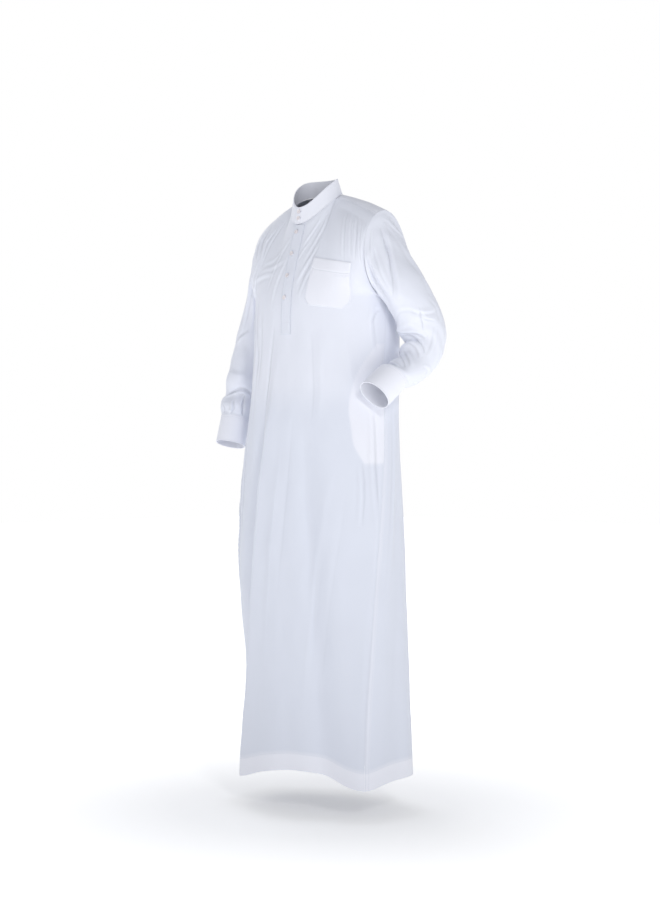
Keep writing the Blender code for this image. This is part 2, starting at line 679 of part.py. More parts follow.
def make_front():
    """The front, open along its slit from the neck down."""
    shares = np.array([-share for share in reversed(FRONT_SHARES)] + list(FRONT_SHARES))
    levels = np.concatenate((np.linspace(1, 0, FRONT_ARM_ROWS + 1)[:-1], lower_levels()))
    points = front_point(shares[None, :], levels[:, None])
    slit_end = SLIT_END_Z - ARMPIT_Z + 1e-6
    slit = {(row, len(FRONT_SHARES) - 1) for row in range(len(levels)) if levels[row] > slit_end}
    faces = grid_faces(len(levels), len(shares), slit)
    return Sheet("front", points, faces, body_wall(levels, len(shares)), WHITE_CLOTH)


def make_back():
    """The back, from the yoke seam to the hem."""
    shares = np.linspace(1, -1, 2 * BACK_COLUMNS + 1)
    levels = np.concatenate((np.linspace(1, 0, BACK_ARM_ROWS + 1)[:-1], lower_levels()))
    points = back_point(shares[None, :], levels[:, None])
    faces = grid_faces(len(levels), len(shares))
    return Sheet("back", points, faces, body_wall(levels, len(shares)), WHITE_CLOTH)


def yoke_shares():
    """The yoke's columns, from the left forward seam round the back of the neck."""
    inner = 1 - YOKE_ARM_SHARE
    arm = np.linspace(1, inner, YOKE_ARM_COLUMNS + 1)[:-1]
    half = list(arm) + list(np.linspace(inner, 0, BACK_COLUMNS + 1))
    return np.array(half + [-share for share in reversed(half[:-1])])


def make_yoke():
    """The yoke over both shoulders."""
    shares = yoke_shares()
    parts = [(share - NECK_SHARE) / (1 - NECK_SHARE) for share in FRONT_SHARES if share >= NECK_SHARE]
    points = yoke_point(shares[None, :], np.array(parts)[:, None])
    return Sheet("yoke", points, grid_faces(len(parts), len(shares)), CLOTH, WHITE_CLOTH)


def neck_angles():
    """Angles round the neck of the points that the front, the yoke and the collar share."""
    front = [90 * share / NECK_SHARE for share in FRONT_SHARES if share <= NECK_SHARE]
    yoke = [180 - 90 * share for share in yoke_shares()]
    return np.array(front + yoke[1:-1] + [360 - angle for angle in reversed(front)])


def make_collar():
    """The collar, from its lapped left end round the neck to its right end."""
    lap = np.linspace(-COLLAR_LAP, 0, 4)[:-1]
    angles = np.concatenate((lap, neck_angles()))
    parts = np.linspace(1, 0, 4)
    points = collar_point(angles[None, :], parts[:, None])
    return Sheet("collar", points, grid_faces(len(parts), len(angles)), COLLAR_WALL, DOUBLED_CLOTH)


def armhole_angles():
    """Angles round the armhole of the points that body, yoke and sleeve share."""
    front = np.linspace(0, SEAM_TIP, FRONT_ARM_ROWS + 1)
    yoke = np.linspace(SEAM_TIP, YOKE_TIP, YOKE_ARM_COLUMNS + 1)
    back = np.linspace(YOKE_TIP, 360, BACK_ARM_ROWS + 1)
    return np.concatenate((front, yoke[1:], back[1:-1]))


def make_sleeve(name, side):
    """A sleeve from the armhole to the cuff seam."""
    around = armhole_angles()
    count = len(LEFT_SLEEVE if side > 0 else RIGHT_SLEEVE) - 1
    along = np.linspace(0, count, SLEEVE_STEPS * count + 1)
    points = sleeve_point(side, around[None, :], along[:, None])
    faces = grid_faces(len(along), len(around), closed=True, flip=side < 0)
    return Sheet(name, points, faces, CLOTH, WHITE_CLOTH)


def make_cuff(name, side):
    """A cuff."""
    around = armhole_angles()
    parts = np.linspace(0, 1, CUFF_ROWS + 1)
    points = cuff_point(side, around[None, :], parts[:, None])
    faces = grid_faces(len(parts), len(around), closed=True, flip=side < 0)
    return Sheet(name, points, faces, DOUBLE_CLOTH, DOUBLED_CLOTH)


def front_place(x, z):
    """The share and level at which the front has a given x and z."""
    x, z = np.broadcast_arrays(np.asarray(x, float), np.asarray(z, float))
    share = x / CHEST_HALF_WIDTH
    level = np.where(z > ARMPIT_Z, (z - ARMPIT_Z) / CHEST_RISE, z - ARMPIT_Z)
    step = 1e-4
    for _ in range(SEARCH_STEPS):
        here = front_point(share, level)
        by_share = (front_point(share + step, level) - here) / step
        by_level = (front_point(share, level + step) - here) / step
        off_x, off_z = x - here[..., 0], z - here[..., 2]
        size = by_share[..., 0] * by_level[..., 2] - by_share[..., 2] * by_level[..., 0]
        share = share + (off_x * by_level[..., 2] - off_z * by_level[..., 0]) / size
        level = level + (off_z * by_share[..., 0] - off_x * by_share[..., 2]) / size
    return share, level


def front_normal(share, level):
    """The front's outward normal."""
    step = 1e-3
    by_share = front_point(share + step, level) - front_point(share - step, level)
    by_level = front_point(share, level + step) - front_point(share, level - step)
    normal = np.cross(by_share, by_level)
    return normal / np.linalg.norm(normal, axis=-1, keepdims=True)


def laid_piece(collection, name, share, level, faces, near, far, colour):
    """A piece laid along the front, its two faces near and far out from the front's cloth at each point."""
    points, normals = front_point(share, level).reshape(-1, 3), front_normal(share, level).reshape(-1, 3)
    sheet = Sheet(name, points, faces, CLOTH, colour)
    near, far = np.reshape(near, (-1, 1)), np.reshape(far, (-1, 1))
    mesh = wall_mesh(name, points + normals * far, points + normals * near, sheet.faces, sheet.rim())
    return add_object(collection, name, mesh, colour)


def make_placket(collection):
    """The strip over the slit, from just under the collar to its square end."""
    z = np.linspace(front_top(0.0)[2] - PLACKET_TOP_GAP, PLACKET_END_Z, PLACKET_ROWS + 1)
    x = np.linspace(PLACKET_RIGHT_X, PLACKET_LEFT_X, PLACKET_COLUMNS + 1)
    share, level = front_place(x[None, :], z[:, None])
    faces = grid_faces(len(z), len(x))
    laid_piece(collection, "placket", share, level, faces, LAID_GAP, LAID_GAP + CLOTH, DOUBLED_CLOTH)


def make_chest_pocket(collection):
    """The patch pocket, with its lower corners clipped."""
    corners = np.array(POCKET_CORNERS)
    right = np.linspace(0, 1, POCKET_COLUMNS + 1)[None, :, None]
    down = np.linspace(0, 1, POCKET_ROWS + 1)[:, None, None]
    top = corners[0] + (corners[1] - corners[0]) * right
    low = corners[3] + (corners[2] - corners[3]) * right
    clip = POCKET_CLIP * np.clip(1 - np.minimum(right, 1 - right) * POCKET_COLUMNS, 0, 1)
    places = top + (low - top) * down * (1 - clip)
    share, level = front_place(places[..., 0], places[..., 1])
    faces = grid_faces(POCKET_ROWS + 1, POCKET_COLUMNS + 1)
    laid_piece(collection, "chest_pocket", share, level, faces, LAID_GAP, LAID_GAP + CLOTH, DOUBLED_CLOTH)


def make_side_pocket_bag(collection):
    """The bag of the left side pocket, along the inside of the front and held at the side seam."""
    outline = np.array(BAG_OUTLINE_Z)
    z = np.linspace(outline[0, 0], outline[-1, 0], BAG_ROWS + 1)
    edge = smooth_values(BAG_OUTLINE_Z, z)[:, 1]
    part = np.linspace(0, 1, BAG_COLUMNS + 1)
    share = edge[:, None] + (BAG_SEAM_SHARE - edge[:, None]) * part[None, :]
    level = np.broadcast_to((z - ARMPIT_Z)[:, None], share.shape)
    gap = np.broadcast_to(np.where(part < 1, BAG_GAP, BAG_SEAM_GAP), share.shape)
    faces = grid_faces(len(z), len(part))
    laid_piece(collection, "side_pocket_bag", share, level, faces, -CLOTH - gap - DOUBLE_CLOTH, -CLOTH - gap,
               DOUBLED_CLOTH)


def make_button(collection, name, place, normal):
    """A round button with a softened rim, its back on the cloth below it."""
    bpy.ops.mesh.primitive_cylinder_add(vertices=16, radius=BUTTON_RADIUS, depth=BUTTON_THICK)
    button = bpy.context.object
    button.name = name
    mesh = button.data
    mesh.name = name
    mesh.materials.append(material(name, PEARL, PEARL_ROUGHNESS))
    bevel = button.modifiers.new("rim", "BEVEL")
    bevel.width = BUTTON_RIM
    bevel.segments = 1
    turn = Vector((0.0, 0.0, 1.0)).rotation_difference(Vector(normal)).to_matrix().to_4x4()
    centre = Vector(place) + Vector(normal) * (BUTTON_THICK / 2)
    button.matrix_world = Matrix.Translation(centre) @ turn
    for owner in list(button.users_collection):
        owner.objects.unlink(button)
    collection.objects.link(button)
    return button


def make_buttons(collection):
    """Two buttons on the collar's lap and four on the placket."""
    names = iter(f"button_{k}" for k in range(1, 7))
    for part in COLLAR_BUTTON_HEIGHTS:
        place = collar_point(0.0, part)
        across = collar_point(1.0, part) - collar_point(-1.0, part)
        up = collar_point(0.0, part + 0.05) - collar_point(0.0, part - 0.05)
        normal = np.cross(across, up)
        normal /= np.linalg.norm(normal)
        make_button(collection, next(names), place + normal * BUTTON_GAP, normal)
    for z in PLACKET_BUTTON_Z:
        share, level = front_place(0.0, z)
        normal = front_normal(share, level)
        place = front_point(share, level) + normal * (LAID_GAP + CLOTH + BUTTON_GAP)
        make_button(collection, next(names), place, normal)


def make_robe():
    """Build every piece."""
    clear_scene()
    collection = bpy.data.collections.new("thobe")
    bpy.context.scene.collection.children.link(collection)
    sheets = [make_front(), make_back(), make_yoke(), make_collar()]
    sheets += [make_sleeve("sleeve_left", 1), make_sleeve("sleeve_right", -1)]
    sheets += [make_cuff("cuff_left", 1), make_cuff("cuff_right", -1)]
    share_normals(sheets)
    for sheet in sheets:
        cloth_object(collection, sheet)
    make_placket(collection)
    make_chest_pocket(collection)
    make_side_pocket_bag(collection)
    make_buttons(collection)
    bpy.context.view_layer.update()


make_robe()
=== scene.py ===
# %% [markdown]
# # A long white shirt robe
# The object is a man's white thobe, a shirt robe that reaches the ankles, filled out as it is worn.
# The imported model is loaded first. It fixes where every piece sits, and each piece that follows takes the
# place of one of its nodes. The cloth is built again here from the same sections, several times finer,
# because only a fine mesh can hold the creases that make cloth look like cloth.

# %% Load the frame
import math
from collections import namedtuple

import bmesh
import bpy
import numpy as np
from mathutils import Matrix, Vector


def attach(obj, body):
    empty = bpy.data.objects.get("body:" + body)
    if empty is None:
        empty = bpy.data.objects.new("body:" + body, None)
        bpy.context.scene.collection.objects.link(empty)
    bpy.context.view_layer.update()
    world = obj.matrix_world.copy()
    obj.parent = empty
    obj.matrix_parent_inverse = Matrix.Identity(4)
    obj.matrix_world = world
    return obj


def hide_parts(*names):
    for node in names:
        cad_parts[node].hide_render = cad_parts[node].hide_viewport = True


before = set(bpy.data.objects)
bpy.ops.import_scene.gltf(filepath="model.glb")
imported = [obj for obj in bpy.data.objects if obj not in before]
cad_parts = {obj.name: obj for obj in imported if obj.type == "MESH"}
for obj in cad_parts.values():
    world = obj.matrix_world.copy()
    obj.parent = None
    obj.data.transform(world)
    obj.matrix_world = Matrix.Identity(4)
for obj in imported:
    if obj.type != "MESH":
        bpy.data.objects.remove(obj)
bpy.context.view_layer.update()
bpy.ops.object.select_all(action="DESELECT")
print("nodes:", len(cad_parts))

# %% [markdown]
# ## The sizes of the robe
# A maker starts from a table of sizes. These are the same as the solids', in metres: level sections of the
# body, the long folds that fall from the chest to the hem, and the sections of both sleeves. Angles
# run in degrees from the middle of the front towards the wearer's left.

# %% Sizes of the body
ARMPIT_Z = -0.2745
HEM_Z = -1.500
HEM_TURN_UP = 0.047
SLIT_END_Z = -0.355

BodyRing = namedtuple("BodyRing", "z centre_x centre_y half_width front_depth back_depth")
BODY_RINGS = (
    BodyRing(-0.220, 0.000, 0.031, 0.196, 0.139, 0.146),
    BodyRing(-0.275, 0.000, 0.035, 0.200, 0.150, 0.150),
    BodyRing(-0.370, 0.000, 0.033, 0.203, 0.150, 0.152),
    BodyRing(-0.500, -0.004, 0.027, 0.213, 0.146, 0.154),
    BodyRing(-0.650, -0.008, 0.022, 0.227, 0.145, 0.158),
    BodyRing(-0.900, -0.006, 0.020, 0.234, 0.148, 0.162),
    BodyRing(-1.200, 0.000, 0.022, 0.240, 0.154, 0.165),
    BodyRing(-1.500, 0.004, 0.024, 0.246, 0.160, 0.170),
)

FOLD_WIDTH_TOP = 0.55
FOLD_GROWN = 0.4
FOLD_CHANGES = 0.35
LongFold = namedtuple("LongFold", "angles z_top height height_hem width spread peak")
LONG_FOLDS = (
    LongFold((-4, -18.5, -34.5, -61), -0.33, 0.024, 0.017, 12, 2.2, 1.3),
    LongFold((-24, -38, -54, -84), -0.38, -0.019, -0.016, 12, 1.0, 2.0),
    LongFold((-72, -78, -90, -106), -0.46, 0.018, 0.012, 14, 1.0, 1.6),
    LongFold((-110, -118.2, -124.9, -130), -0.52, -0.010, -0.016, 12, 1.0, 2.0),
    LongFold((28, 35, 42, 48), -0.45, -0.015, -0.024, 13, 1.0, 2.0),
    LongFold((5, -0.3, -4.7, -8), -0.62, 0.006, 0.008, 17, 1.0, 2.0),
    LongFold((90, 81, 73.6, 68), -0.50, 0.008, 0.020, 9, 1.0, 1.4),
    LongFold((108, 100.6, 94.6, 90), -0.62, -0.006, -0.014, 11, 1.0, 2.0),
    LongFold((124, 119.5, 115.8, 113), -0.50, 0.010, 0.012, 14, 1.0, 1.8),
    LongFold((150, 145.1, 141.1, 138), -0.50, -0.010, -0.014, 13, 1.0, 2.0),
    LongFold((172, 168.3, 165.3, 163), -0.45, 0.010, 0.016, 13, 1.0, 1.8),
    LongFold((196, 193.5, 191.5, 190), -0.52, -0.008, -0.014, 13, 1.0, 2.0),
    LongFold((214, 213.6, 213.3, 213), -0.46, 0.010, 0.016, 13, 1.0, 1.7),
)
Dent = namedtuple("Dent", "z angle depth tall wide")
DENTS = (
    Dent(-0.42, -88, -0.008, 0.10, 26),
    Dent(-0.46, 78, -0.006, 0.10, 22),
    Dent(-0.95, -66, 0.013, 0.18, 30),
    Dent(-0.40, 128, 0.010, 0.20, 34),
    Dent(-0.36, -53, 0.006, 0.22, 30),
    Dent(-0.27, 53, 0.004, 0.13, 28),
)
HEM_HEIGHTS = (
    (-180, -1.490), (-120, -1.495), (-62, -1.505), (-20, -1.470), (20, -1.455),
    (45, -1.464), (67, -1.494), (82, -1.484), (110, -1.474), (150, -1.486), (180, -1.490),
)
TWIST = -22.0
TWIST_FROM = -0.45

# %% Sizes of the neck, the armholes and the yoke
NECK_WIDTH = 0.068
NECK_FRONT = 0.0655
NECK_BACK = 0.062
NECK_BACK_Z = -0.002
NECK_DROP = 0.0835
COLLAR_TOP_WIDTH = 0.0590
COLLAR_TOP_FRONT = 0.0610
COLLAR_TOP_BACK = 0.0450
COLLAR_BACK_Z = 0.036
COLLAR_DROP = 0.0786
NECK_DROP_CURVE = 2.2
COLLAR_DROP_CURVE = 2.6
COLLAR_LAP = 12.5
LAP_STEP = 0.0026
LAP_FLAT = 2.0
LAP_ENDS = 24.0

ARMHOLE_TOP_Z = -0.0595
ARMHOLE_FRONT = 0.079
ARMHOLE_BACK = 0.070
SEAM_TIP = 150.0
YOKE_TIP = 228.0
ARMHOLE_TOP_OUT = 0.002
ARMHOLE_TOP_BACK = 0.003
RIGHT_SHOULDER_BACK = 0.016
YOKE_BACK = (0.0, 0.148, -0.112)
YOKE_CURVE = 2.2
SHOULDER_ROUND = 0.006

FRONT_WAY_NECK = np.array((0.0, 0.34, 0.94))
FRONT_WAY_SHOULDER = np.array((0.0, 0.82, 0.57))
BACK_WAY = np.array((0.0, -0.52, 0.85))
ARMHOLE_PULL_SHARE = 0.40
CHEST_HEIGHT = 0.2
ARMPIT_EASE = 0.035
EASE_STEPS = 9
NECK_BLEND = 0.45
NECK_SHARE = 0.436
SLIT_SHARE = 0.0085
YOKE_ARM_SHARE = 0.42

# %% Sizes of the sleeves
SleeveRing = namedtuple("SleeveRing", "out y z tilt lift half_out half_fore")
LEFT_SLEEVE = (
    SleeveRing(0.213, 0.038, -0.187, 86, 0, 0.0900, 0.073),
    SleeveRing(0.222, 0.040, -0.207, 79, 0, 0.0765, 0.069),
    SleeveRing(0.237, 0.046, -0.235, 66, 0, 0.0625, 0.067),
    SleeveRing(0.253, 0.057, -0.265, 45, -8, 0.0560, 0.066),
    SleeveRing(0.262, 0.069, -0.292, 26, -12, 0.0535, 0.065),
    SleeveRing(0.269, 0.086, -0.323, 16, -12, 0.0535, 0.062),
    SleeveRing(0.271, 0.101, -0.353, 12, 0, 0.0535, 0.060),
    SleeveRing(0.271, 0.103, -0.379, 9, 14, 0.0530, 0.056),
    SleeveRing(0.269, 0.102, -0.409, 6, 28, 0.0510, 0.050),
    SleeveRing(0.265, 0.087, -0.438, 3, 40, 0.0485, 0.044),
    SleeveRing(0.261, 0.063, -0.459, 2, 44, 0.0460, 0.040),
    SleeveRing(0.257, 0.036, -0.473, 2, 44, 0.0440, 0.040),
    SleeveRing(0.254, 0.008, -0.477, 2, 44, 0.0390, 0.043),
    SleeveRing(0.247, -0.052, -0.524, 2, 44, 0.0360, 0.045),
)
RIGHT_SLEEVE = (
    SleeveRing(0.217, 0.057, -0.187, 85, 0, 0.0920, 0.076),
    SleeveRing(0.226, 0.059, -0.210, 77, 0, 0.0770, 0.072),
    SleeveRing(0.237, 0.062, -0.238, 60, 0, 0.0620, 0.068),
    SleeveRing(0.248, 0.064, -0.270, 38, 0, 0.0540, 0.065),
    SleeveRing(0.263, 0.065, -0.305, 20, 0, 0.0530, 0.062),
    SleeveRing(0.277, 0.062, -0.345, 12, 2, 0.0540, 0.060),
    SleeveRing(0.286, 0.055, -0.385, 9, 6, 0.0530, 0.058),
    SleeveRing(0.291, 0.044, -0.425, 5, 10, 0.0510, 0.056),
    SleeveRing(0.293, 0.029, -0.470, 2, 14, 0.0480, 0.053),
    SleeveRing(0.292, 0.012, -0.512, 0, 16, 0.0440, 0.046),
    SleeveRing(0.289, -0.006, -0.550, -2, 18, 0.0420, 0.044),
    SleeveRing(0.286, -0.016, -0.575, -3, 18, 0.0385, 0.042),
    SleeveRing(0.282, -0.040, -0.643, -3, 16, 0.0365, 0.041),
)
SleeveFold = namedtuple("SleeveFold", "along around slant reach_along reach_around height")
LEFT_FOLDS = (
    SleeveFold(7.1, 65, 0.0, 0.75, 55, 0.011),
    SleeveFold(8.5, 75, 0.0, 0.50, 60, -0.011),
    SleeveFold(9.6, 70, 0.0, 0.50, 60, 0.008),
    SleeveFold(11.4, 60, 0.0, 0.55, 70, 0.006),
    SleeveFold(12.3, 80, 0.0, 0.45, 70, -0.004),
    SleeveFold(2.2, 95, 0.0, 2.2, 14, 0.007),
    SleeveFold(2.4, 66, 0.0, 2.0, 12, -0.008),
)
RIGHT_FOLDS = (
    SleeveFold(9.2, 70, 0.0, 0.50, 70, 0.006),
    SleeveFold(10.2, 60, 0.0, 0.40, 60, -0.007),
    SleeveFold(11.0, 110, 0.0, 0.45, 80, 0.004),
    SleeveFold(2.2, 95, 0.0, 2.2, 14, 0.006),
    SleeveFold(2.4, 62, 0.0, 2.0, 12, -0.007),
)

# %% [markdown]
# ## One continuous surface
# Every place on the cloth has a formula, so a seam, a pocket or a row of stitches can be put exactly on it
# later. Smooth curves run through the rows of each table. They are cubic curves whose slopes come
# from their neighbours, the way a flexible ruler bends through its pins.

# %% Smooth curves
def hermite(start, start_pull, end, end_pull, part):
    """Cubic between two places with given pulls at its ends."""
    square, cube = part**2, part**3
    return ((2 * cube - 3 * square + 1) * start + (cube - 2 * square + part) * start_pull
            + (3 * square - 2 * cube) * end + (cube - square) * end_pull)


def smooth_values(table, places):
    """Every column of a table, read smoothly at places along its first column."""
    rows = np.array(sorted(table), float)
    knots = rows[:, 0]
    slopes = np.gradient(rows, knots, axis=0)
    places = np.clip(np.asarray(places, float), knots[0], knots[-1])
    low = np.clip(np.searchsorted(knots, places, side="right") - 1, 0, len(knots) - 2)
    span = (knots[low + 1] - knots[low])[..., None]
    part = (places - knots[low])[..., None] / span
    return hermite(rows[low], slopes[low] * span, rows[low + 1], slopes[low + 1] * span, part)


def smooth_step(value, start, end):
    """0 before start, 1 after end, smooth between."""
    part = np.clip((value - start) / (end - start), 0.0, 1.0)
    return part * part * (3 - 2 * part)


def wrap(angle):
    """An angle in degrees brought to -180..180."""
    return (angle + 180.0) % 360.0 - 180.0


# %% The body below the armholes
def fold_angle(angles, fall):
    """The cubic curve through four angles, at equal steps from a fold's top to the hem."""
    step = 3 * fall
    return (angles[0] * (1 - step) * (2 - step) * (3 - step) / 6 + angles[1] * step * (2 - step) * (3 - step) / 2
            + angles[2] * step * (step - 1) * (3 - step) / 2 + angles[3] * step * (step - 1) * (step - 2) / 6)


def fold_height(z, angle):
    """How far the folds and dents push the cloth out from its ring."""
    total = np.zeros(np.broadcast(z, angle).shape)
    for fold in LONG_FOLDS:
        fall = np.clip((fold.z_top - z) / (fold.z_top - HEM_Z), 0.0, 1.0)
        away = wrap(angle - fold_angle(fold.angles, fall))
        width = fold.width * (FOLD_WIDTH_TOP + (1 - FOLD_WIDTH_TOP) * fall)
        height = fold.height + (fold.height_hem - fold.height) * smooth_step(fall, FOLD_CHANGES, 1.0)
        shape = np.exp(-((np.abs(away) / (width * np.where(away > 0, fold.spread, 1.0))) ** fold.peak))
        total += height * smooth_step(fall, 0.0, FOLD_GROWN) * shape
    for dent in DENTS:
        away = (wrap(angle - dent.angle) / dent.wide) ** 2 + ((z - dent.z) / dent.tall) ** 2
        total += dent.depth * np.exp(-away)
    return total


def body_point(z, angle):
    """The outer cloth at a level at or below the armpits."""
    z, angle = np.broadcast_arrays(np.asarray(z, float), np.asarray(angle, float))
    ring = np.moveaxis(smooth_values(BODY_RINGS, z), -1, 0)
    across, ahead = np.sin(np.radians(angle)), np.cos(np.radians(angle))
    depth = np.where(ahead > 0, ring[4], ring[5])
    radius = 1 / np.sqrt((across / ring[3]) ** 2 + (ahead / depth) ** 2)
    radius = radius + fold_height(z, angle)
    fall = np.clip((ARMPIT_Z - z) / (ARMPIT_Z - HEM_Z), 0.0, 1.0)
    hem = smooth_values(HEM_HEIGHTS, wrap(angle))[..., 1]
    height = z + (hem - HEM_Z) * fall**2
    return np.stack((ring[1] + radius * across, ring[2] - radius * ahead, height), -1)


def twist(z):
    """The turn of the side seams and the cloth between them towards the hem."""
    return TWIST * smooth_step(-np.asarray(z, float), -TWIST_FROM, -HEM_Z)


# %% Neck, collar, armholes and the seams over the shoulders
ARMPITS = {side: body_point(ARMPIT_Z, side * 90.0) for side in (1, -1)}


def neck_point(angle):
    """The seam between the collar and the body, angle from the front centre."""
    across, ahead = np.sin(np.radians(angle)), np.cos(np.radians(angle))
    depth = np.where(ahead > 0, NECK_FRONT, NECK_BACK)
    height = NECK_BACK_Z - NECK_DROP * ((1 + ahead) / 2) ** NECK_DROP_CURVE
    return np.stack((NECK_WIDTH * across, -depth * ahead, height), -1)


def collar_top_point(angle):
    """The collar's upper edge."""
    across, ahead = np.sin(np.radians(angle)), np.cos(np.radians(angle))
    depth = np.where(ahead > 0, COLLAR_TOP_FRONT, COLLAR_TOP_BACK)
    height = COLLAR_BACK_Z - COLLAR_DROP * ((1 + ahead) / 2) ** COLLAR_DROP_CURVE
    return np.stack((COLLAR_TOP_WIDTH * across, -depth * ahead, height), -1)


def armhole_point(side, around):
    """The armhole seam, side +1 left or -1 right, around in degrees from the armpit over the front."""
    around = np.asarray(around, float)
    pit = ARMPITS[side]
    rise = (1 - np.cos(np.radians(around))) / 2
    sway = np.sin(np.radians(around))
    reach = np.where(sway > 0, ARMHOLE_FRONT, ARMHOLE_BACK)
    back = ARMHOLE_TOP_BACK + (RIGHT_SHOULDER_BACK if side < 0 else 0.0)
    y = pit[1] + back * rise - reach * sway
    z = pit[2] + (ARMHOLE_TOP_Z - ARMPIT_Z) * rise
    x = pit[0] + side * ARMHOLE_TOP_OUT * rise
    return np.stack(np.broadcast_arrays(x, y, z), -1)


def shoulder_seam(side, part):
    """The forward shoulder seam, from the neck to the armhole."""
    part = np.asarray(part, float)[..., None]
    start, end = neck_point(90.0 * side), armhole_point(side, SEAM_TIP)
    round_up = SHOULDER_ROUND * np.sin(np.pi * part)
    return start + (end - start) * part + round_up * np.array((0.0, 0.0, 1.0))


def yoke_seam(share):
    """The seam between yoke and back, share -1 at the right armhole to 1 at the left one."""
    share = np.asarray(share, float)
    reach = np.abs(share)[..., None]
    left, right = armhole_point(1, YOKE_TIP), armhole_point(-1, YOKE_TIP)
    end = np.where(share[..., None] > 0, left, right)
    middle = np.array(YOKE_BACK)
    x = end[..., 0:1] * reach
    rest = middle[1:] + (end[..., 1:] - middle[1:]) * reach**YOKE_CURVE
    return np.concatenate((x, rest), -1)


# %% The front and the back
def upper_point(bottom, bottom_pull, top, top_way, level):
    """A column of cloth from the armpit's level to the seam above it."""
    length = np.linalg.norm(top - bottom, axis=-1, keepdims=True)
    top_way = top_way / np.linalg.norm(top_way, axis=-1, keepdims=True)
    return hermite(bottom, bottom_pull * length, top, top_way * length, level[..., None])


def ring_pull(angle):
    """The way the cloth rises through the armpit's level."""
    step = 0.01
    rise = body_point(ARMPIT_Z + step, angle) - body_point(ARMPIT_Z, angle)
    return rise / np.linalg.norm(rise, axis=-1, keepdims=True)


def front_top(share):
    """The front's upper edge: neck, then forward shoulder seam."""
    share = np.asarray(share, float)
    side = np.where(share < 0, -1, 1)
    neck = neck_point(90 * np.clip(share / NECK_SHARE, -1, 1))
    part = np.clip((np.abs(share) - NECK_SHARE) / (1 - NECK_SHARE), 0, 1)
    seam = np.where(side[..., None] > 0, shoulder_seam(1, part), shoulder_seam(-1, part))
    return np.where(np.abs(share)[..., None] <= NECK_SHARE, neck, seam)


def front_upper(share, level):
    """The front above the armpits, level 0 there and 1 at its upper edge. The further below that edge,
    the more of it is averaged, so that the corner of neck and shoulder leaves no crease down the chest."""
    turn = smooth_step(np.abs(share), 0.2, 0.8)[..., None]
    way = (1 - turn) * FRONT_WAY_NECK + turn * FRONT_WAY_SHOULDER
    offsets = np.linspace(-NECK_BLEND, NECK_BLEND, 9)
    top = np.mean([front_top(share + offset * (1 - level)) for offset in offsets], axis=0)
    angle = 90 * share
    return upper_point(body_point(ARMPIT_Z, angle), ring_pull(angle), top, way, level)


def eased(form, share, level):
    """A panel's form averaged over a little height about the armpits, where its two halves meet, so that
    the cloth bends softly there. Its side edges keep their places."""
    share, level = np.broadcast_arrays(np.asarray(share, float), np.asarray(level, float))
    place = form(share, level)
    height = np.where(level > 0, level * CHEST_HEIGHT, level)
    calm = 1 - smooth_step(np.abs(height), ARMPIT_EASE, 2 * ARMPIT_EASE)
    reach = ARMPIT_EASE * (1 - share**4) * calm
    near = reach > 1e-6
    if near.any():
        offsets = np.linspace(-0.9, 0.9, EASE_STEPS)[:, None]
        parts = np.cos(offsets * np.pi / 2)
        moved = height[near] + offsets * reach[near]
        spots = form(np.broadcast_to(share[near], moved.shape), np.where(moved > 0, moved / CHEST_HEIGHT, moved))
        place[near] = (spots * (parts / parts.sum())[..., None]).sum(0)
    return place


def two_halves(share, level, lower, upper):
    """A panel's places: from one form below the armpits' level and from another above it."""
    share, level = np.broadcast_arrays(np.asarray(share, float), np.asarray(level, float))
    above = level > 0
    place = np.empty(share.shape + (3,))
    place[~above] = lower(share[~above], ARMPIT_Z + level[~above])
    place[above] = upper(share[above], np.minimum(level[above], 1.0))
    return place


def front_above(share, rise):
    """The front above the armpits, drawn to both armholes."""
    place = front_upper(share, rise)
    for side in (1, -1):
        beside = side * share > ARMHOLE_PULL_SHARE
        off = armhole_point(side, rise[beside] * SEAM_TIP) - front_upper(np.full(beside.sum(), side), rise[beside])
        place[beside] += off * smooth_step(side * share[beside], ARMHOLE_PULL_SHARE, 1.0)[..., None]
    return place


def front_form(share, level):
    """The front's outer cloth. share runs from -1 at the right side seam to 1 at the left one. level is
    1 at the upper edge and 0 at the armpits, and below them it counts metres down."""
    return two_halves(share, level, lambda share, z: body_point(z, 90 * share + twist(z)), front_above)


def front_point(share, level):
    """The front's outer cloth, soft about the armpits."""
    return eased(front_form, share, level)


def back_upper(share, level):
    """The back above the armpits."""
    way = np.broadcast_to(BACK_WAY, share.shape + (3,))
    angle = 180 - 90 * share
    return upper_point(body_point(ARMPIT_Z, angle), ring_pull(angle), yoke_seam(share), way, level)


def back_above(share, rise):
    """The back above the armpits, drawn to both armholes."""
    place = back_upper(share, rise)
    for side in (1, -1):
        beside = side * share > ARMHOLE_PULL_SHARE
        edge = armhole_point(side, 360 - rise[beside] * (360 - YOKE_TIP))
        off = edge - back_upper(np.full(beside.sum(), side), rise[beside])
        place[beside] += off * smooth_step(side * share[beside], ARMHOLE_PULL_SHARE, 1.0)[..., None]
    return place


def back_form(share, level):
    """The back's outer cloth, share from -1 at the right side seam to 1 at the left one."""
    return two_halves(share, level, lambda share, z: body_point(z, 180 - 90 * share + twist(z)), back_above)


def back_point(share, level):
    """The back's outer cloth, soft about the armpits."""
    return eased(back_form, share, level)


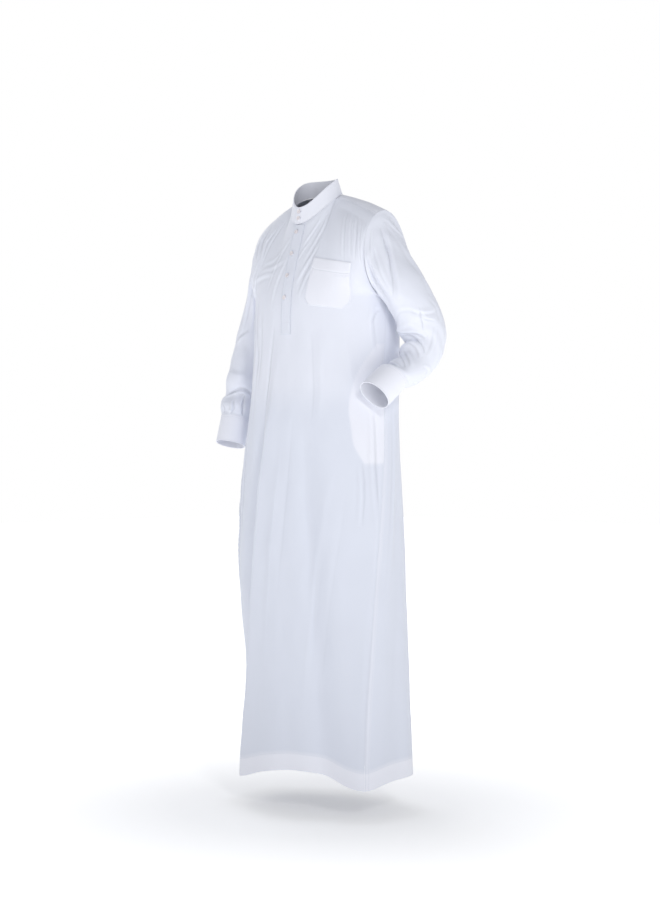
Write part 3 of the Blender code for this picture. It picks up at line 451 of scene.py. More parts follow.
# %% The yoke and the collar
def yoke_point(share, part):
    """The yoke's outer cloth. share is 1 at the left forward seam, 0 at the middle of the back and -1
    at the right forward seam, and part runs from the neck to the outer edge."""
    share, part = np.broadcast_arrays(np.asarray(share, float), np.asarray(part, float))
    neck = neck_point(180 - 90 * share)
    inner_share = 1 - YOKE_ARM_SHARE
    along = np.clip((1 - np.abs(share)) / YOKE_ARM_SHARE, 0, 1)
    around = SEAM_TIP + (YOKE_TIP - SEAM_TIP) * along
    arm = np.where(share[..., None] > 0, armhole_point(1, around), armhole_point(-1, around))
    seam = yoke_seam(np.clip(share / inner_share, -1, 1))
    outer = np.where(np.abs(share)[..., None] >= inner_share, arm, seam)
    round_up = SHOULDER_ROUND * np.sin(np.pi * part)[..., None]
    return neck + (outer - neck) * part[..., None] + round_up * np.array((0.0, 0.0, 1.0))


def collar_point(angle, part):
    """The collar's outer cloth, part 0 at the neck seam and 1 at the upper edge."""
    angle, part = np.broadcast_arrays(np.asarray(angle, float), np.asarray(part, float))
    low, high = neck_point(angle), collar_top_point(angle)
    place = low + (high - low) * part[..., None]
    lap = LAP_STEP * (1 - smooth_step(angle, LAP_FLAT, LAP_ENDS))
    out = np.stack((np.sin(np.radians(angle)), -np.cos(np.radians(angle)), np.zeros_like(angle)), -1)
    return place + out * lap[..., None]


# %% The sleeves and the cuffs
def sleeve_frame(side, row):
    """Centre, outer line and front line of one sleeve section."""
    tilt, lift = math.radians(row.tilt), math.radians(row.lift)
    centre = np.array((side * row.out, row.y, row.z))
    outer = np.array((side * math.cos(tilt), 0.0, math.sin(tilt)))
    fore = np.array((0.0, -math.cos(lift), math.sin(lift)))
    fore -= outer * outer.dot(fore)
    return centre, outer, fore / np.linalg.norm(fore)


def sleeve_ring(side, row, around):
    """The points of one sleeve section."""
    centre, outer, fore = sleeve_frame(side, row)
    turn = np.radians(around)[..., None]
    return centre - outer * row.half_out * np.cos(turn) + fore * row.half_fore * np.sin(turn)


def at_row(values, row):
    """From values stacked by row, those of a given row at each place."""
    return np.take_along_axis(values, row[None, ..., None], 0)[0]


def sleeve_point(side, around, along):
    """The sleeve's outer cloth: along is 0 at the armhole and counts sections to the cuff seam."""
    rows = (LEFT_SLEEVE if side > 0 else RIGHT_SLEEVE)[:-1]
    folds = LEFT_FOLDS if side > 0 else RIGHT_FOLDS
    around, along = np.broadcast_arrays(np.asarray(around, float), np.asarray(along, float))
    rings = np.stack([armhole_point(side, around)] + [sleeve_ring(side, row, around) for row in rows])
    pulls = np.gradient(rings, axis=0)
    low = np.clip(along.astype(int), 0, len(rows) - 1)
    high = low + 1
    part = (along - low)[..., None]
    place = hermite(at_row(rings, low), at_row(pulls, low), at_row(rings, high), at_row(pulls, high), part)
    hole = armhole_point(side, np.arange(0, 360, 15)).mean(0)
    centres = np.array([hole] + [sleeve_frame(side, row)[0] for row in rows])
    out = place - centres[low] * (1 - part) - centres[high] * part
    out /= np.linalg.norm(out, axis=-1, keepdims=True)
    height = np.zeros(around.shape)
    for fold in folds:
        turn = wrap(around - fold.around)
        away = (turn / fold.reach_around) ** 2
        away = away + ((along - fold.along - fold.slant * turn) / fold.reach_along) ** 2
        height += fold.height * np.exp(-away)
    calm = smooth_step(along, 0.0, 1.0) * smooth_step(len(rows) - along, 0.0, 0.6)
    return place + out * (height * calm)[..., None]


def cuff_point(side, around, part):
    """The cuff's outer cloth, part 0 at the sleeve seam and 1 at its end."""
    rows = (LEFT_SLEEVE if side > 0 else RIGHT_SLEEVE)[-2:]
    around, part = np.broadcast_arrays(np.asarray(around, float), np.asarray(part, float))
    start, end = (sleeve_ring(side, row, around) for row in rows)
    return start + (end - start) * part[..., None]


# %% [markdown]
# ## From a formula to a sheet of cloth
# A panel is a grid of places on its surface. Seams share their places, so a fine robe needs the same
# count of rows on both sides of each seam. Creases are moved out along the surface's own direction. Then
# the inner face is laid a cloth's thickness further in, and the two are closed along the rim: a real thin
# shell, with an edge that shows at hem, cuffs and collar.

# %% How fine the grids are
FRONT_SHARES = (SLIT_SHARE, 0.047, 0.093, 0.165, 0.24, 0.31, 0.375, NECK_SHARE,
                0.51, 0.585, 0.66, 0.735, 0.81, 0.88, 0.945, 1.0)
FINER = 6
BACK_COLUMNS = 74
FRONT_ARM_ROWS = 68
BACK_ARM_ROWS = 56
YOKE_ARM_COLUMNS = 26
SLEEVE_STEPS = 14
SKIRT_SPANS = ((-0.78, 78), (-0.96, 54), (HEM_Z + HEM_TURN_UP, 58))
HEM_ROWS = 9
PANEL_HALF_WIDTH = 0.34
YOKE_HALF_ACROSS = 0.25
YOKE_DEEP = 0.14
SINGLE_THICK = 0.0007
DOUBLE_THICK = 0.0011


def between(values, count):
    """The values with count - 1 more between each two."""
    fine = [np.linspace(a, b, count + 1)[:-1] for a, b in zip(values[:-1], values[1:])]
    return np.concatenate(fine + [values[-1:]])


half_shares = between(np.array(FRONT_SHARES), FINER)
front_shares = np.concatenate((-half_shares[::-1], half_shares))
shoulder_parts = (half_shares[half_shares >= NECK_SHARE - 1e-9] - NECK_SHARE) / (1 - NECK_SHARE)
skirt_spans, span_top = [], ARMPIT_Z
for span_end, span_rows in SKIRT_SPANS:
    skirt_spans.append(np.linspace(span_top, span_end, span_rows + 1)[:-1] - ARMPIT_Z)
    span_top = span_end
skirt_levels = np.concatenate(skirt_spans + [np.linspace(span_top, HEM_Z, HEM_ROWS + 1) - ARMPIT_Z])
front_levels = np.concatenate((np.linspace(1, 0, FRONT_ARM_ROWS + 1)[:-1], skirt_levels))
back_levels = np.concatenate((np.linspace(1, 0, BACK_ARM_ROWS + 1)[:-1], skirt_levels))
back_shares = np.linspace(1, -1, 2 * BACK_COLUMNS + 1)
yoke_arm = np.linspace(1, 1 - YOKE_ARM_SHARE, YOKE_ARM_COLUMNS + 1)[:-1]
yoke_half = np.concatenate((yoke_arm, np.linspace(1 - YOKE_ARM_SHARE, 0, BACK_COLUMNS + 1)))
yoke_shares = np.concatenate((yoke_half, -yoke_half[-2::-1]))
armhole_turns = np.concatenate((np.linspace(0, SEAM_TIP, FRONT_ARM_ROWS + 1),
                                np.linspace(SEAM_TIP, YOKE_TIP, YOKE_ARM_COLUMNS + 1)[1:],
                                np.linspace(YOKE_TIP, 360, BACK_ARM_ROWS + 1)[1:-1]))
neck_front = 90 * half_shares[half_shares <= NECK_SHARE + 1e-9] / NECK_SHARE
neck_turns = np.concatenate((neck_front, 180 - 90 * yoke_shares[1:-1], 360 - neck_front[::-1]))
print("front grid:", len(front_levels), "by", len(front_shares))

# %% [markdown]
# ## Creases, placed one by one
# A crease is a short curve on a panel, with a width and a height, like one stroke of a sculptor's tool. A
# height above zero is a ridge and below zero a trough, and a lean sets a trough beside a ridge, which is how a
# pinched fold looks. Their paths are given where they lie: on the body as share of the half width and
# height in metres, on a sleeve as the turn round the arm and the section along it.

# %% Crease strokes
Crease = namedtuple("Crease", "width height lean path")


def curve_through(path, count=28):
    """A smooth run of places through the points of a path."""
    path = np.array(path, float)
    knots = np.arange(len(path), dtype=float)
    if len(path) < 3:
        return path[0] + (path[-1] - path[0]) * np.linspace(0, 1, count)[:, None]
    slopes = np.gradient(path, axis=0)
    place = np.linspace(0, knots[-1], count)
    low = np.clip(place.astype(int), 0, len(path) - 2)
    return hermite(path[low], slopes[low], path[low + 1], slopes[low + 1], (place - low)[:, None])


def stroke_height(places, crease, scale):
    """How far one crease lifts the cloth at places given in metres."""
    line = curve_through(crease.path) * scale
    reach = 3.5 * crease.width
    near = np.all((places > line.min(0) - reach) & (places < line.max(0) + reach), axis=-1)
    lift = np.zeros(places.shape[:-1])
    if not near.any():
        return lift
    spots = places[near][:, None, :]
    start, step = line[:-1][None], (line[1:] - line[:-1])[None]
    part = np.clip(((spots - start) * step).sum(-1) / (step**2).sum(-1), 0, 1)
    off = spots - start - step * part[..., None]
    away = np.hypot(off[..., 0], off[..., 1])
    best = away.argmin(axis=1)
    row = np.arange(len(best))
    away, off, part = away[row, best], off[row, best], part[row, best]
    run = (best + part) / (len(line) - 1)
    side = np.sign(step[0, best, 0] * off[:, 1] - step[0, best, 1] * off[:, 0])
    across = away * side / crease.width
    shape = np.exp(-(np.abs(across) ** 1.5)) - crease.lean * np.exp(-((across - 1.5) ** 2) / 0.8)
    lift[near] = crease.height * shape * np.sin(np.pi * np.clip(run, 0, 1)) ** 0.7
    return lift


def crease_lift(creases, across, down, scale):
    """The lift of all the creases of a panel."""
    across, down = np.broadcast_arrays(np.asarray(across, float), np.asarray(down, float))
    places = np.stack((across, down), -1) * scale
    total = np.zeros(across.shape)
    for crease in creases:
        total += stroke_height(places, crease, np.array(scale))
    return total


def uneven(across, down, size, seed, waves=14):
    """Soft uneven values between about -1 and 1, from waves crossing at chance angles."""
    chance = np.random.RandomState(seed)
    total = np.zeros(np.broadcast(across, down).shape)
    for _ in range(waves):
        turn, phase = chance.uniform(0, 2 * np.pi, 2)
        pace = 2 * np.pi / (size * chance.uniform(0.6, 1.8))
        total += np.sin(pace * (np.cos(turn) * across + np.sin(turn) * down) + phase)
    return total * math.sqrt(2 / waves) / 1.6


# %% Creases of the front
FRONT_CREASES = (
    # hollow and gathers below the left shoulder seam
    Crease(0.013, -0.0035, 0.0, ((0.510, -0.095), (0.670, -0.097), (0.835, -0.101))),
    Crease(0.010, -0.0020, 0.0, ((0.755, -0.101), (0.870, -0.101), (0.970, -0.108))),
    Crease(0.0050, 0.0018, 0.6, ((0.665, -0.100), (0.700, -0.149), (0.700, -0.195))),
    Crease(0.0042, 0.0015, 0.6, ((0.755, -0.110), (0.785, -0.146), (0.795, -0.179))),
    Crease(0.0048, 0.0020, 0.7, ((0.805, -0.100), (0.845, -0.137), (0.850, -0.180))),
    Crease(0.0042, 0.0015, 0.6, ((0.875, -0.105), (0.905, -0.144), (0.930, -0.181))),
    # drag folds from the collar towards the chest
    Crease(0.0070, 0.0028, 0.6, ((0.400, -0.083), (0.385, -0.124), (0.305, -0.151), (0.190, -0.194))),
    Crease(0.0060, 0.0022, 0.6, ((0.290, -0.095), (0.225, -0.117), (0.135, -0.149))),
    Crease(0.0060, 0.0026, 0.7, ((0.370, -0.159), (0.260, -0.198), (0.140, -0.245))),
    Crease(0.0055, 0.0020, 0.6, ((0.340, -0.205), (0.255, -0.236), (0.190, -0.276))),
    Crease(0.0045, 0.0016, 0.6, ((0.225, -0.142), (0.165, -0.162), (0.100, -0.189))),
    Crease(0.0060, -0.0018, 0.0, ((0.325, -0.190), (0.240, -0.226), (0.170, -0.272))),
    # the right side of the chest, pulled to the armhole
    Crease(0.0060, 0.0038, 0.7, ((-0.730, -0.108), (-0.760, -0.137), (-0.700, -0.172))),
    Crease(0.0050, 0.0032, 0.7, ((-0.580, -0.120), (-0.640, -0.150), (-0.610, -0.184))),
    Crease(0.0050, -0.0034, 0.0, ((-0.780, -0.112), (-0.820, -0.136), (-0.740, -0.172))),
    Crease(0.0055, -0.0022, 0.0, ((-0.470, -0.109), (-0.540, -0.151), (-0.560, -0.200))),
    Crease(0.0055, 0.0026, 0.6, ((-0.280, -0.216), (-0.480, -0.222), (-0.670, -0.222))),
    Crease(0.0055, 0.0022, 0.5, ((-0.090, -0.180), (-0.335, -0.205), (-0.575, -0.212))),
    Crease(0.0045, 0.0018, 0.5, ((-0.200, -0.155), (-0.345, -0.188), (-0.540, -0.200))),
    Crease(0.0060, 0.0020, 0.5, ((-0.065, -0.110), (-0.230, -0.176), (-0.345, -0.252))),
    Crease(0.0070, 0.0020, 0.5, ((-0.065, -0.169), (-0.165, -0.232), (-0.230, -0.303))),
    Crease(0.0055, 0.0020, 0.7, ((-0.640, -0.180), (-0.780, -0.205), (-0.930, -0.215))),
    Crease(0.0055, 0.0018, 0.6, ((-0.600, -0.230), (-0.760, -0.246), (-0.940, -0.250))),
    # beside the right arm
    Crease(0.0055, 0.0044, 0.8, ((-0.620, -0.200), (-0.690, -0.268), (-0.645, -0.360), (-0.660, -0.500))),
    Crease(0.0060, 0.0026, 0.6, ((-0.500, -0.260), (-0.540, -0.340), (-0.520, -0.420), (-0.560, -0.520))),
    Crease(0.0075, -0.0040, 0.0, ((-0.150, -0.335), (-0.225, -0.440), (-0.275, -0.520), (-0.345, -0.620),
                                 (-0.400, -0.730))),
    Crease(0.0060, -0.0024, 0.0, ((-0.445, -0.355), (-0.485, -0.434), (-0.500, -0.500), (-0.530, -0.600))),
    # crumples where the right hand has pressed the skirt
    Crease(0.0050, 0.0034, 0.8, ((-0.800, -0.770), (-0.720, -0.830), (-0.640, -0.920))),
    Crease(0.0050, 0.0032, 0.8, ((-0.820, -0.830), (-0.740, -0.900), (-0.660, -1.000))),
    Crease(0.0045, 0.0024, 0.7, ((-0.780, -0.700), (-0.740, -0.760), (-0.660, -0.830))),
    Crease(0.0055, 0.0026, 0.6, ((-0.700, -0.620), (-0.660, -0.760), (-0.610, -0.900))),
    Crease(0.0110, -0.0032, 0.0, ((-0.400, -0.265), (-0.410, -0.388), (-0.460, -0.525))),
    Crease(0.0080, 0.0024, 0.5, ((-0.760, -0.300), (-0.740, -0.420), (-0.800, -0.560))),
    Crease(0.0065, 0.0022, 0.7, ((-0.900, -0.420), (-0.860, -0.560), (-0.900, -0.740))),
    # the sharp fold that falls from the placket to the hem, and its neighbours
    Crease(0.0080, 0.0020, 0.5, ((-0.480, -0.980), (-0.450, -1.150), (-0.470, -1.380))),
    Crease(0.0060, 0.0018, 0.6, ((-0.700, -0.900), (-0.660, -1.080), (-0.690, -1.300))),
    # soft lines down the middle and the left
    Crease(0.0120, -0.0020, 0.0, ((0.340, -0.361), (0.390, -0.486), (0.410, -0.605))),
    Crease(0.0120, 0.0020, 0.0, ((0.430, -0.361), (0.470, -0.486), (0.480, -0.580))),
    Crease(0.0120, 0.0016, 0.3, ((0.630, -0.361), (0.715, -0.459), (0.770, -0.536))),
    Crease(0.0140, 0.0022, 0.0, ((0.060, -0.640), (0.030, -0.900), (0.010, -1.230))),
    Crease(0.0140, -0.0020, 0.0, ((0.190, -0.560), (0.170, -0.800), (0.150, -1.050))),
    Crease(0.0130, 0.0022, 0.3, ((0.620, -0.720), (0.560, -0.960), (0.520, -1.300))),
    Crease(0.0110, -0.0018, 0.0, ((0.760, -0.760), (0.720, -1.000), (0.690, -1.260))),
    Crease(0.0055, 0.0036, 0.8, ((0.880, -0.560), (0.900, -0.640), (0.915, -0.711), (0.975, -0.860))),
    Crease(0.0050, 0.0028, 0.7, ((0.820, -0.690), (0.850, -0.760), (0.860, -0.850))),
    Crease(0.0070, 0.0022, 0.6, ((0.880, -0.290), (0.860, -0.340), (0.900, -0.420))),
    Crease(0.0060, 0.0022, 0.7, ((0.960, -0.300), (0.900, -0.310), (0.830, -0.345))),
)

# %% Creases of the back
BACK_CREASES = (
    Crease(0.0110, 0.0030, 0.5, ((0.700, -0.120), (0.640, -0.220), (0.600, -0.360))),
    Crease(0.0090, 0.0028, 0.6, ((0.860, -0.160), (0.760, -0.240), (0.700, -0.330))),
    Crease(0.0080, 0.0024, 0.6, ((0.930, -0.250), (0.820, -0.300), (0.760, -0.400))),
    Crease(0.0110, -0.0026, 0.0, ((0.480, -0.100), (0.440, -0.240), (0.460, -0.420))),
    Crease(0.0120, 0.0024, 0.4, ((0.280, -0.090), (0.250, -0.260), (0.270, -0.480))),
    Crease(0.0120, 0.0026, 0.5, ((-0.250, -0.090), (-0.290, -0.240), (-0.260, -0.460))),
    Crease(0.0100, -0.0024, 0.0, ((-0.430, -0.110), (-0.460, -0.250), (-0.430, -0.430))),
    Crease(0.0100, 0.0030, 0.6, ((-0.640, -0.110), (-0.620, -0.230), (-0.570, -0.370))),
    Crease(0.0080, 0.0026, 0.6, ((-0.860, -0.170), (-0.760, -0.250), (-0.690, -0.350))),
    Crease(0.0070, 0.0024, 0.7, ((-0.940, -0.260), (-0.840, -0.310), (-0.740, -0.390))),
    Crease(0.0130, 0.0024, 0.4, ((0.060, -0.100), (0.020, -0.320), (0.050, -0.620))),
    Crease(0.0120, 0.0028, 0.5, ((0.620, -0.480), (0.590, -0.760), (0.560, -1.120))),
    Crease(0.0130, -0.0022, 0.0, ((0.420, -0.560), (0.400, -0.860), (0.380, -1.200))),
    Crease(0.0110, 0.0026, 0.6, ((0.200, -0.640), (0.230, -0.940), (0.210, -1.320))),
    Crease(0.0130, -0.0022, 0.0, ((-0.080, -0.700), (-0.100, -1.000), (-0.080, -1.280))),
    Crease(0.0110, 0.0026, 0.6, ((-0.330, -0.560), (-0.360, -0.880), (-0.340, -1.240))),
    Crease(0.0120, 0.0024, 0.5, ((-0.600, -0.520), (-0.640, -0.800), (-0.660, -1.160))),
    Crease(0.0090, 0.0026, 0.6, ((-0.840, -0.460), (-0.860, -0.680), (-0.830, -0.960))),
    Crease(0.0080, 0.0024, 0.6, ((0.880, -0.520), (0.860, -0.760), (0.880, -1.040))),
)

# %% Creases of the sleeves
LEFT_SLEEVE_CREASES = (
    # the pleat below the armhole, and what fans out from it
    Crease(0.0040, -0.0058, 0.0, ((150, 0.9), (147, 1.8), (140, 2.7), (119, 3.5), (92, 4.5))),
    Crease(0.0055, 0.0034, 0.5, ((164, 0.8), (156, 2.2), (136, 3.4), (104, 4.8))),
    Crease(0.0050, 0.0022, 0.6, ((103, 1.0), (92, 2.5), (84, 3.9))),
    Crease(0.0045, 0.0024, 0.6, ((120, 1.4), (109, 2.8), (98, 4.0))),
    Crease(0.0040, 0.0018, 0.6, ((130, 0.5), (113, 1.1), (102, 1.9))),
    Crease(0.0055, 0.0016, 0.6, ((168, 0.4), (192, 1.2), (226, 1.8))),
    Crease(0.0060, 0.0014, 0.6, ((172, 0.9), (186, 2.3), (188, 3.6))),
    Crease(0.0055, -0.0024, 0.0, ((84, 0.5), (70, 1.6), (52, 2.8))),
    # the soft fold over the elbow with its short crease, and the dark fold under the upper arm
    Crease(0.0055, 0.0018, 0.9, ((60, 5.5), (93, 5.3), (120, 5.5), (139, 5.9), (165, 6.1), (190, 5.9))),
    Crease(0.0040, -0.0026, 0.0, ((143, 5.6), (136, 6.3), (133, 7.2), (132, 8.0))),
    Crease(0.0045, 0.0014, 0.7, ((145, 5.8), (148, 6.5), (170, 6.8))),
    Crease(0.0055, 0.0030, 0.9, ((46, 6.8), (75, 7.8), (112, 8.1), (142, 8.5))),
    Crease(0.0050, -0.0062, 0.0, ((50, 8.0), (92, 8.5), (122, 9.2), (146, 10.0))),
    # over the forearm
    Crease(0.0055, 0.0024, 0.7, ((80, 9.0), (115, 9.6), (146, 10.4))),
    Crease(0.0050, 0.0026, 0.7, ((76, 9.9), (112, 10.7), (150, 11.6))),
    Crease(0.0045, -0.0026, 0.0, ((60, 10.4), (100, 11.2), (140, 12.1))),
    Crease(0.0045, 0.0028, 0.8, ((50, 11.4), (92, 11.9), (130, 12.4))),
    Crease(0.0045, -0.0030, 0.0, ((40, 11.6), (70, 12.0), (96, 12.6))),
    Crease(0.0055, 0.0014, 0.7, ((182, 5.2), (196, 5.9), (190, 7.0))),
    Crease(0.0055, 0.0018, 0.7, ((172, 7.4), (164, 8.9), (160, 10.1))),
    Crease(0.0055, 0.0016, 0.6, ((168, 10.8), (196, 10.6), (228, 10.9))),
    Crease(0.0055, 0.0026, 0.6, ((20, 6.6), (0, 7.8), (-30, 8.6))),
    Crease(0.0055, 0.0026, 0.6, ((30, 8.8), (5, 9.6), (-30, 10.0))),
    # outer side and back
    Crease(0.0070, 0.0024, 0.5, ((190, 1.2), (196, 3.2), (200, 5.6))),
    Crease(0.0065, -0.0022, 0.0, ((222, 1.6), (226, 3.6), (220, 5.6))),
    Crease(0.0065, 0.0026, 0.6, ((250, 0.8), (262, 2.6), (280, 4.4))),
    Crease(0.0060, 0.0026, 0.6, ((286, 0.9), (300, 2.2), (318, 3.8))),
    Crease(0.0060, 0.0028, 0.7, ((210, 7.2), (240, 8.2), (280, 8.6))),
    Crease(0.0060, 0.0028, 0.7, ((196, 8.8), (236, 9.6), (276, 9.6))),
    Crease(0.0055, 0.0024, 0.6, ((215, 12.3), (250, 11.6), (290, 11.8))),
)
RIGHT_SLEEVE_CREASES = (
    # the lip where the sleeve falls over the cuff, and the fold that drops from it
    Crease(0.0046, 0.0060, 1.0, ((150, 10.9), (112, 10.5), (74, 10.2), (40, 10.0), (8, 10.2))),
    Crease(0.0034, -0.0076, 0.0, ((31, 10.2), (27, 10.8), (21, 11.4), (15, 12.1))),
    Crease(0.0045, 0.0040, 0.8, ((70, 10.7), (62, 11.4), (72, 12.3))),
    Crease(0.0050, 0.0030, 0.7, ((108, 11.0), (104, 11.6), (112, 12.3))),
    Crease(0.0060, 0.0016, 0.5, ((118, 8.7), (84, 9.0), (41, 9.0))),
    Crease(0.0055, 0.0026, 0.6, ((130, 7.4), (93, 6.5), (64, 5.9))),
    # down the arm
    Crease(0.0060, 0.0030, 0.6, ((84, 0.9), (97, 3.8), (101, 6.2))),
    Crease(0.0060, 0.0032, 0.7, ((71, 0.7), (76, 3.5), (68, 6.0))),
    Crease(0.0060, -0.0030, 0.0, ((92, 0.2), (80, 1.2), (82, 3.4))),
    Crease(0.0065, 0.0026, 0.5, ((150, 0.5), (138, 2.2), (118, 3.9))),
    Crease(0.0060, 0.0024, 0.6, ((112, 0.4), (116, 1.6), (124, 3.2))),
    Crease(0.0060, 0.0024, 0.6, ((60, 0.4), (52, 1.6), (40, 2.9))),
    # outer side and back
    Crease(0.0075, 0.0026, 0.5, ((186, 1.0), (190, 3.4), (184, 6.2))),
    Crease(0.0070, -0.0024, 0.0, ((214, 1.5), (218, 3.8), (212, 6.4))),
    Crease(0.0065, 0.0026, 0.6, ((246, 0.8), (258, 2.6), (274, 4.6))),
    Crease(0.0060, 0.0024, 0.6, ((282, 0.9), (298, 2.3), (316, 3.9))),
    Crease(0.0060, 0.0028, 0.7, ((190, 7.6), (226, 8.1), (262, 7.9))),
    Crease(0.0060, 0.0028, 0.7, ((200, 9.4), (236, 9.8), (276, 9.3))),
    Crease(0.0050, 0.0026, 0.6, ((150, 11.5), (190, 11.1), (240, 11.4))),
)

# %% [markdown]
# ## How far the cloth stands off its solid
# Each panel's lift is its creases, a slight unevenness, and a shallow trough where it is sewn to its
# neighbour. All of it fades at the seams, so that two panels still meet there.

# %% Lift of each panel
BODY_SCALE = (PANEL_HALF_WIDTH, 1.0)
SLEEVE_SCALE = (0.00095, 0.034)
SEAM_TROUGH = 0.0007
SEAM_FADE = 0.012


def from_edge(distance):
    """0 at a seam and 1 a little way from it."""
    return smooth_step(distance, 0.0, SEAM_FADE)


def body_height(level):
    """A place on the body as a height: metres below the armpits, and a share of the chest above them."""
    return ARMPIT_Z + np.where(level > 0, level * CHEST_HEIGHT, level)


def panel_lift(creases, share, level, seed):
    """The lift of the front or the back: its creases, a slight unevenness, and the trough at its seams."""
    down = body_height(level)
    lift = crease_lift(creases, share, down, BODY_SCALE)
    calm = 0.35 + 0.65 * smooth_step(down, HEM_Z, HEM_Z + 2 * HEM_TURN_UP)
    lift = lift + 0.0007 * calm * uneven(share * PANEL_HALF_WIDTH, down * 0.45, 0.07, seed)
    side = (1 - np.abs(share)) * PANEL_HALF_WIDTH
    top = (1 - level) * CHEST_HEIGHT
    inside = from_edge(side) * from_edge(top)
    return lift * inside - SEAM_TROUGH * (1 - inside)


def front_lift(share, level):
    """The lift of the front."""
    return panel_lift(FRONT_CREASES, share, level, 3)


def back_lift(share, level):
    """The lift of the back."""
    return panel_lift(BACK_CREASES, share, level, 8)


def yoke_lift(share, part):
    """The lift of the yoke, which lies smooth over the shoulders."""
    across, along = share * YOKE_HALF_ACROSS, part * YOKE_DEEP
    inside = from_edge(along) * from_edge(YOKE_DEEP - along) * from_edge((1 - np.abs(share)) * YOKE_HALF_ACROSS)
    return 0.0006 * uneven(across, along, 0.06, 5) * inside - SEAM_TROUGH * (1 - inside)


def sleeve_lift(side):
    """The lift of one sleeve."""
    creases = LEFT_SLEEVE_CREASES if side > 0 else RIGHT_SLEEVE_CREASES
    count = len(LEFT_SLEEVE if side > 0 else RIGHT_SLEEVE) - 1

    def lift(around, along):
        down = SLEEVE_SCALE[1]
        total = sum(crease_lift(creases, around + turn, along, SLEEVE_SCALE) for turn in (-360, 0, 360))
        ring = np.radians(around)
        total = total + 0.0009 * uneven(np.cos(ring) * 0.055, along * down + np.sin(ring) * 0.055, 0.05, 11)
        inside = from_edge(along * down) * from_edge((count - along) * down)
        return total * inside - SEAM_TROUGH * (1 - inside)

    return lift


def no_lift(across, along):
    """For the stiff pieces, which keep their form."""
    return np.zeros(np.broadcast(across, along).shape)


# %% Place and direction anywhere on a surface
def surface_normal(point, u, v, flip=1.0):
    """The outward direction of a surface, from its places a small step to each side."""
    step = 1e-3
    by_u = point(u + step, v) - point(u - step, v)
    by_v = point(u, v + step) - point(u, v - step)
    normal = np.cross(by_u, by_v) * flip
    return normal / np.maximum(np.linalg.norm(normal, axis=-1, keepdims=True), 1e-12)


Surface = namedtuple("Surface", "point lift flip")


def dressed(surface, u, v, gap=0.0):
    """The place of the creased cloth, moved out by a gap."""
    u, v = np.broadcast_arrays(np.asarray(u, float), np.asarray(v, float))
    normal = surface_normal(surface.point, u, v, surface.flip)
    return surface.point(u, v) + normal * (surface.lift(u, v) + gap)[..., None]


FRONT = Surface(front_point, front_lift, 1.0)
BACK = Surface(back_point, back_lift, -1.0)
YOKE = Surface(yoke_point, yoke_lift, 1.0)
COLLAR = Surface(collar_point, no_lift, 1.0)
SLEEVES = {side: Surface(lambda around, along, side=side: sleeve_point(side, around, along),
                         sleeve_lift(side), -float(side)) for side in (1, -1)}
CUFFS = {side: Surface(lambda around, part, side=side: cuff_point(side, around, part),
                       no_lift, -float(side)) for side in (1, -1)}

# %% [markdown]
# ## Building the panels
# All the panels are made as grids first, because the direction of the cloth at a seam is the mean of the faces
# on both sides of it. With one shared direction the inner faces meet as neatly as the outer ones do. Each
# panel also gets a map of its own cloth in metres, for the weave, and a value that says where it is doubled,
# because two layers of this thin shirting look whiter than one; that value also carries painted light on the
# chest and the sleeves. A fold value from how sharply the cloth bends becomes painted shade in the troughs
# and a painted highlight on the ridges.

# %% Panels as grids
GAP = 0.00015
CREASE_SHADE_FULL_BEND = 160.0


class Panel:
    """One piece of cloth: a grid of places, its map in metres, and where it is doubled, a value that also carries
    painted light on the chest and the sleeves.
    """

    def __init__(self, name, points, cloth_map, wall, doubled=0.0, closed=False, flip=False, left_out=()):
        self.name = name
        self.rows, self.columns = points.shape[:2]
        self.points = points.reshape(-1, 3)
        self.map = np.stack(np.broadcast_arrays(*cloth_map), -1).reshape(-1, 2)
        self.wall = np.broadcast_to(wall, points.shape[:2]).reshape(-1)
        self.doubled = np.broadcast_to(doubled, points.shape[:2]).reshape(-1)
        self.closed = closed
        rows = np.arange(self.rows - 1)[:, None]
        columns = np.arange(self.columns if closed else self.columns - 1)[None, :]
        right = (columns + 1) % self.columns
        corners = [rows * self.columns + columns, (rows + 1) * self.columns + columns,
                   (rows + 1) * self.columns + right, rows * self.columns + right]
        faces = np.stack([np.broadcast_to(corner, (rows.size, columns.size)) for corner in corners], -1)
        keep = np.ones(faces.shape[:2], bool)
        for row, column in left_out:
            keep[row, column] = False
        self.faces = faces[keep]
        if flip:
            self.faces = self.faces[:, ::-1]
        self.normals = None


def share_directions(panels):
    """One outward direction for each place, shared across seams."""
    places = np.concatenate([panel.points for panel in panels])
    _, weld = np.unique(np.round(places, 5), axis=0, return_inverse=True)
    weld = weld.reshape(-1)
    sums = np.zeros((weld.max() + 1, 3))
    start = 0
    for panel in panels:
        a, b, c, d = (panel.points[panel.faces[:, k]] for k in range(4))
        cross = np.cross(c - a, d - b)
        for k in range(4):
            np.add.at(sums, weld[start + panel.faces[:, k]], cross)
        start += len(panel.points)
    start = 0
    for panel in panels:
        normals = sums[weld[start:start + len(panel.points)]]
        panel.normals = normals / np.maximum(np.linalg.norm(normals, axis=1, keepdims=True), 1e-12)
        start += len(panel.points)


def crease_shade_of(panel):
    """How sharply the cloth bends: above zero on ridges and below it in troughs. The material paints shade and
    highlight from it.
    """
    grid = panel.points.reshape(panel.rows, panel.columns, 3)
    normals = panel.normals.reshape(grid.shape)
    bend = np.zeros(grid.shape[:2])
    for axis in (0, 1):
        before, after = np.roll(grid, 1, axis) - grid, np.roll(grid, -1, axis) - grid
        near, far = (np.maximum(np.linalg.norm(way, axis=-1, keepdims=True), 0.0005) for way in (before, after))
        part = -((before / near + after / far) * normals).sum(-1) * 2 / (near + far)[..., 0]
        if axis == 0 or not panel.closed:
            part[(slice(None),) * axis + ([0, -1],)] = 0
        bend += part
    return np.clip(bend / CREASE_SHADE_FULL_BEND, -1, 1).reshape(-1)


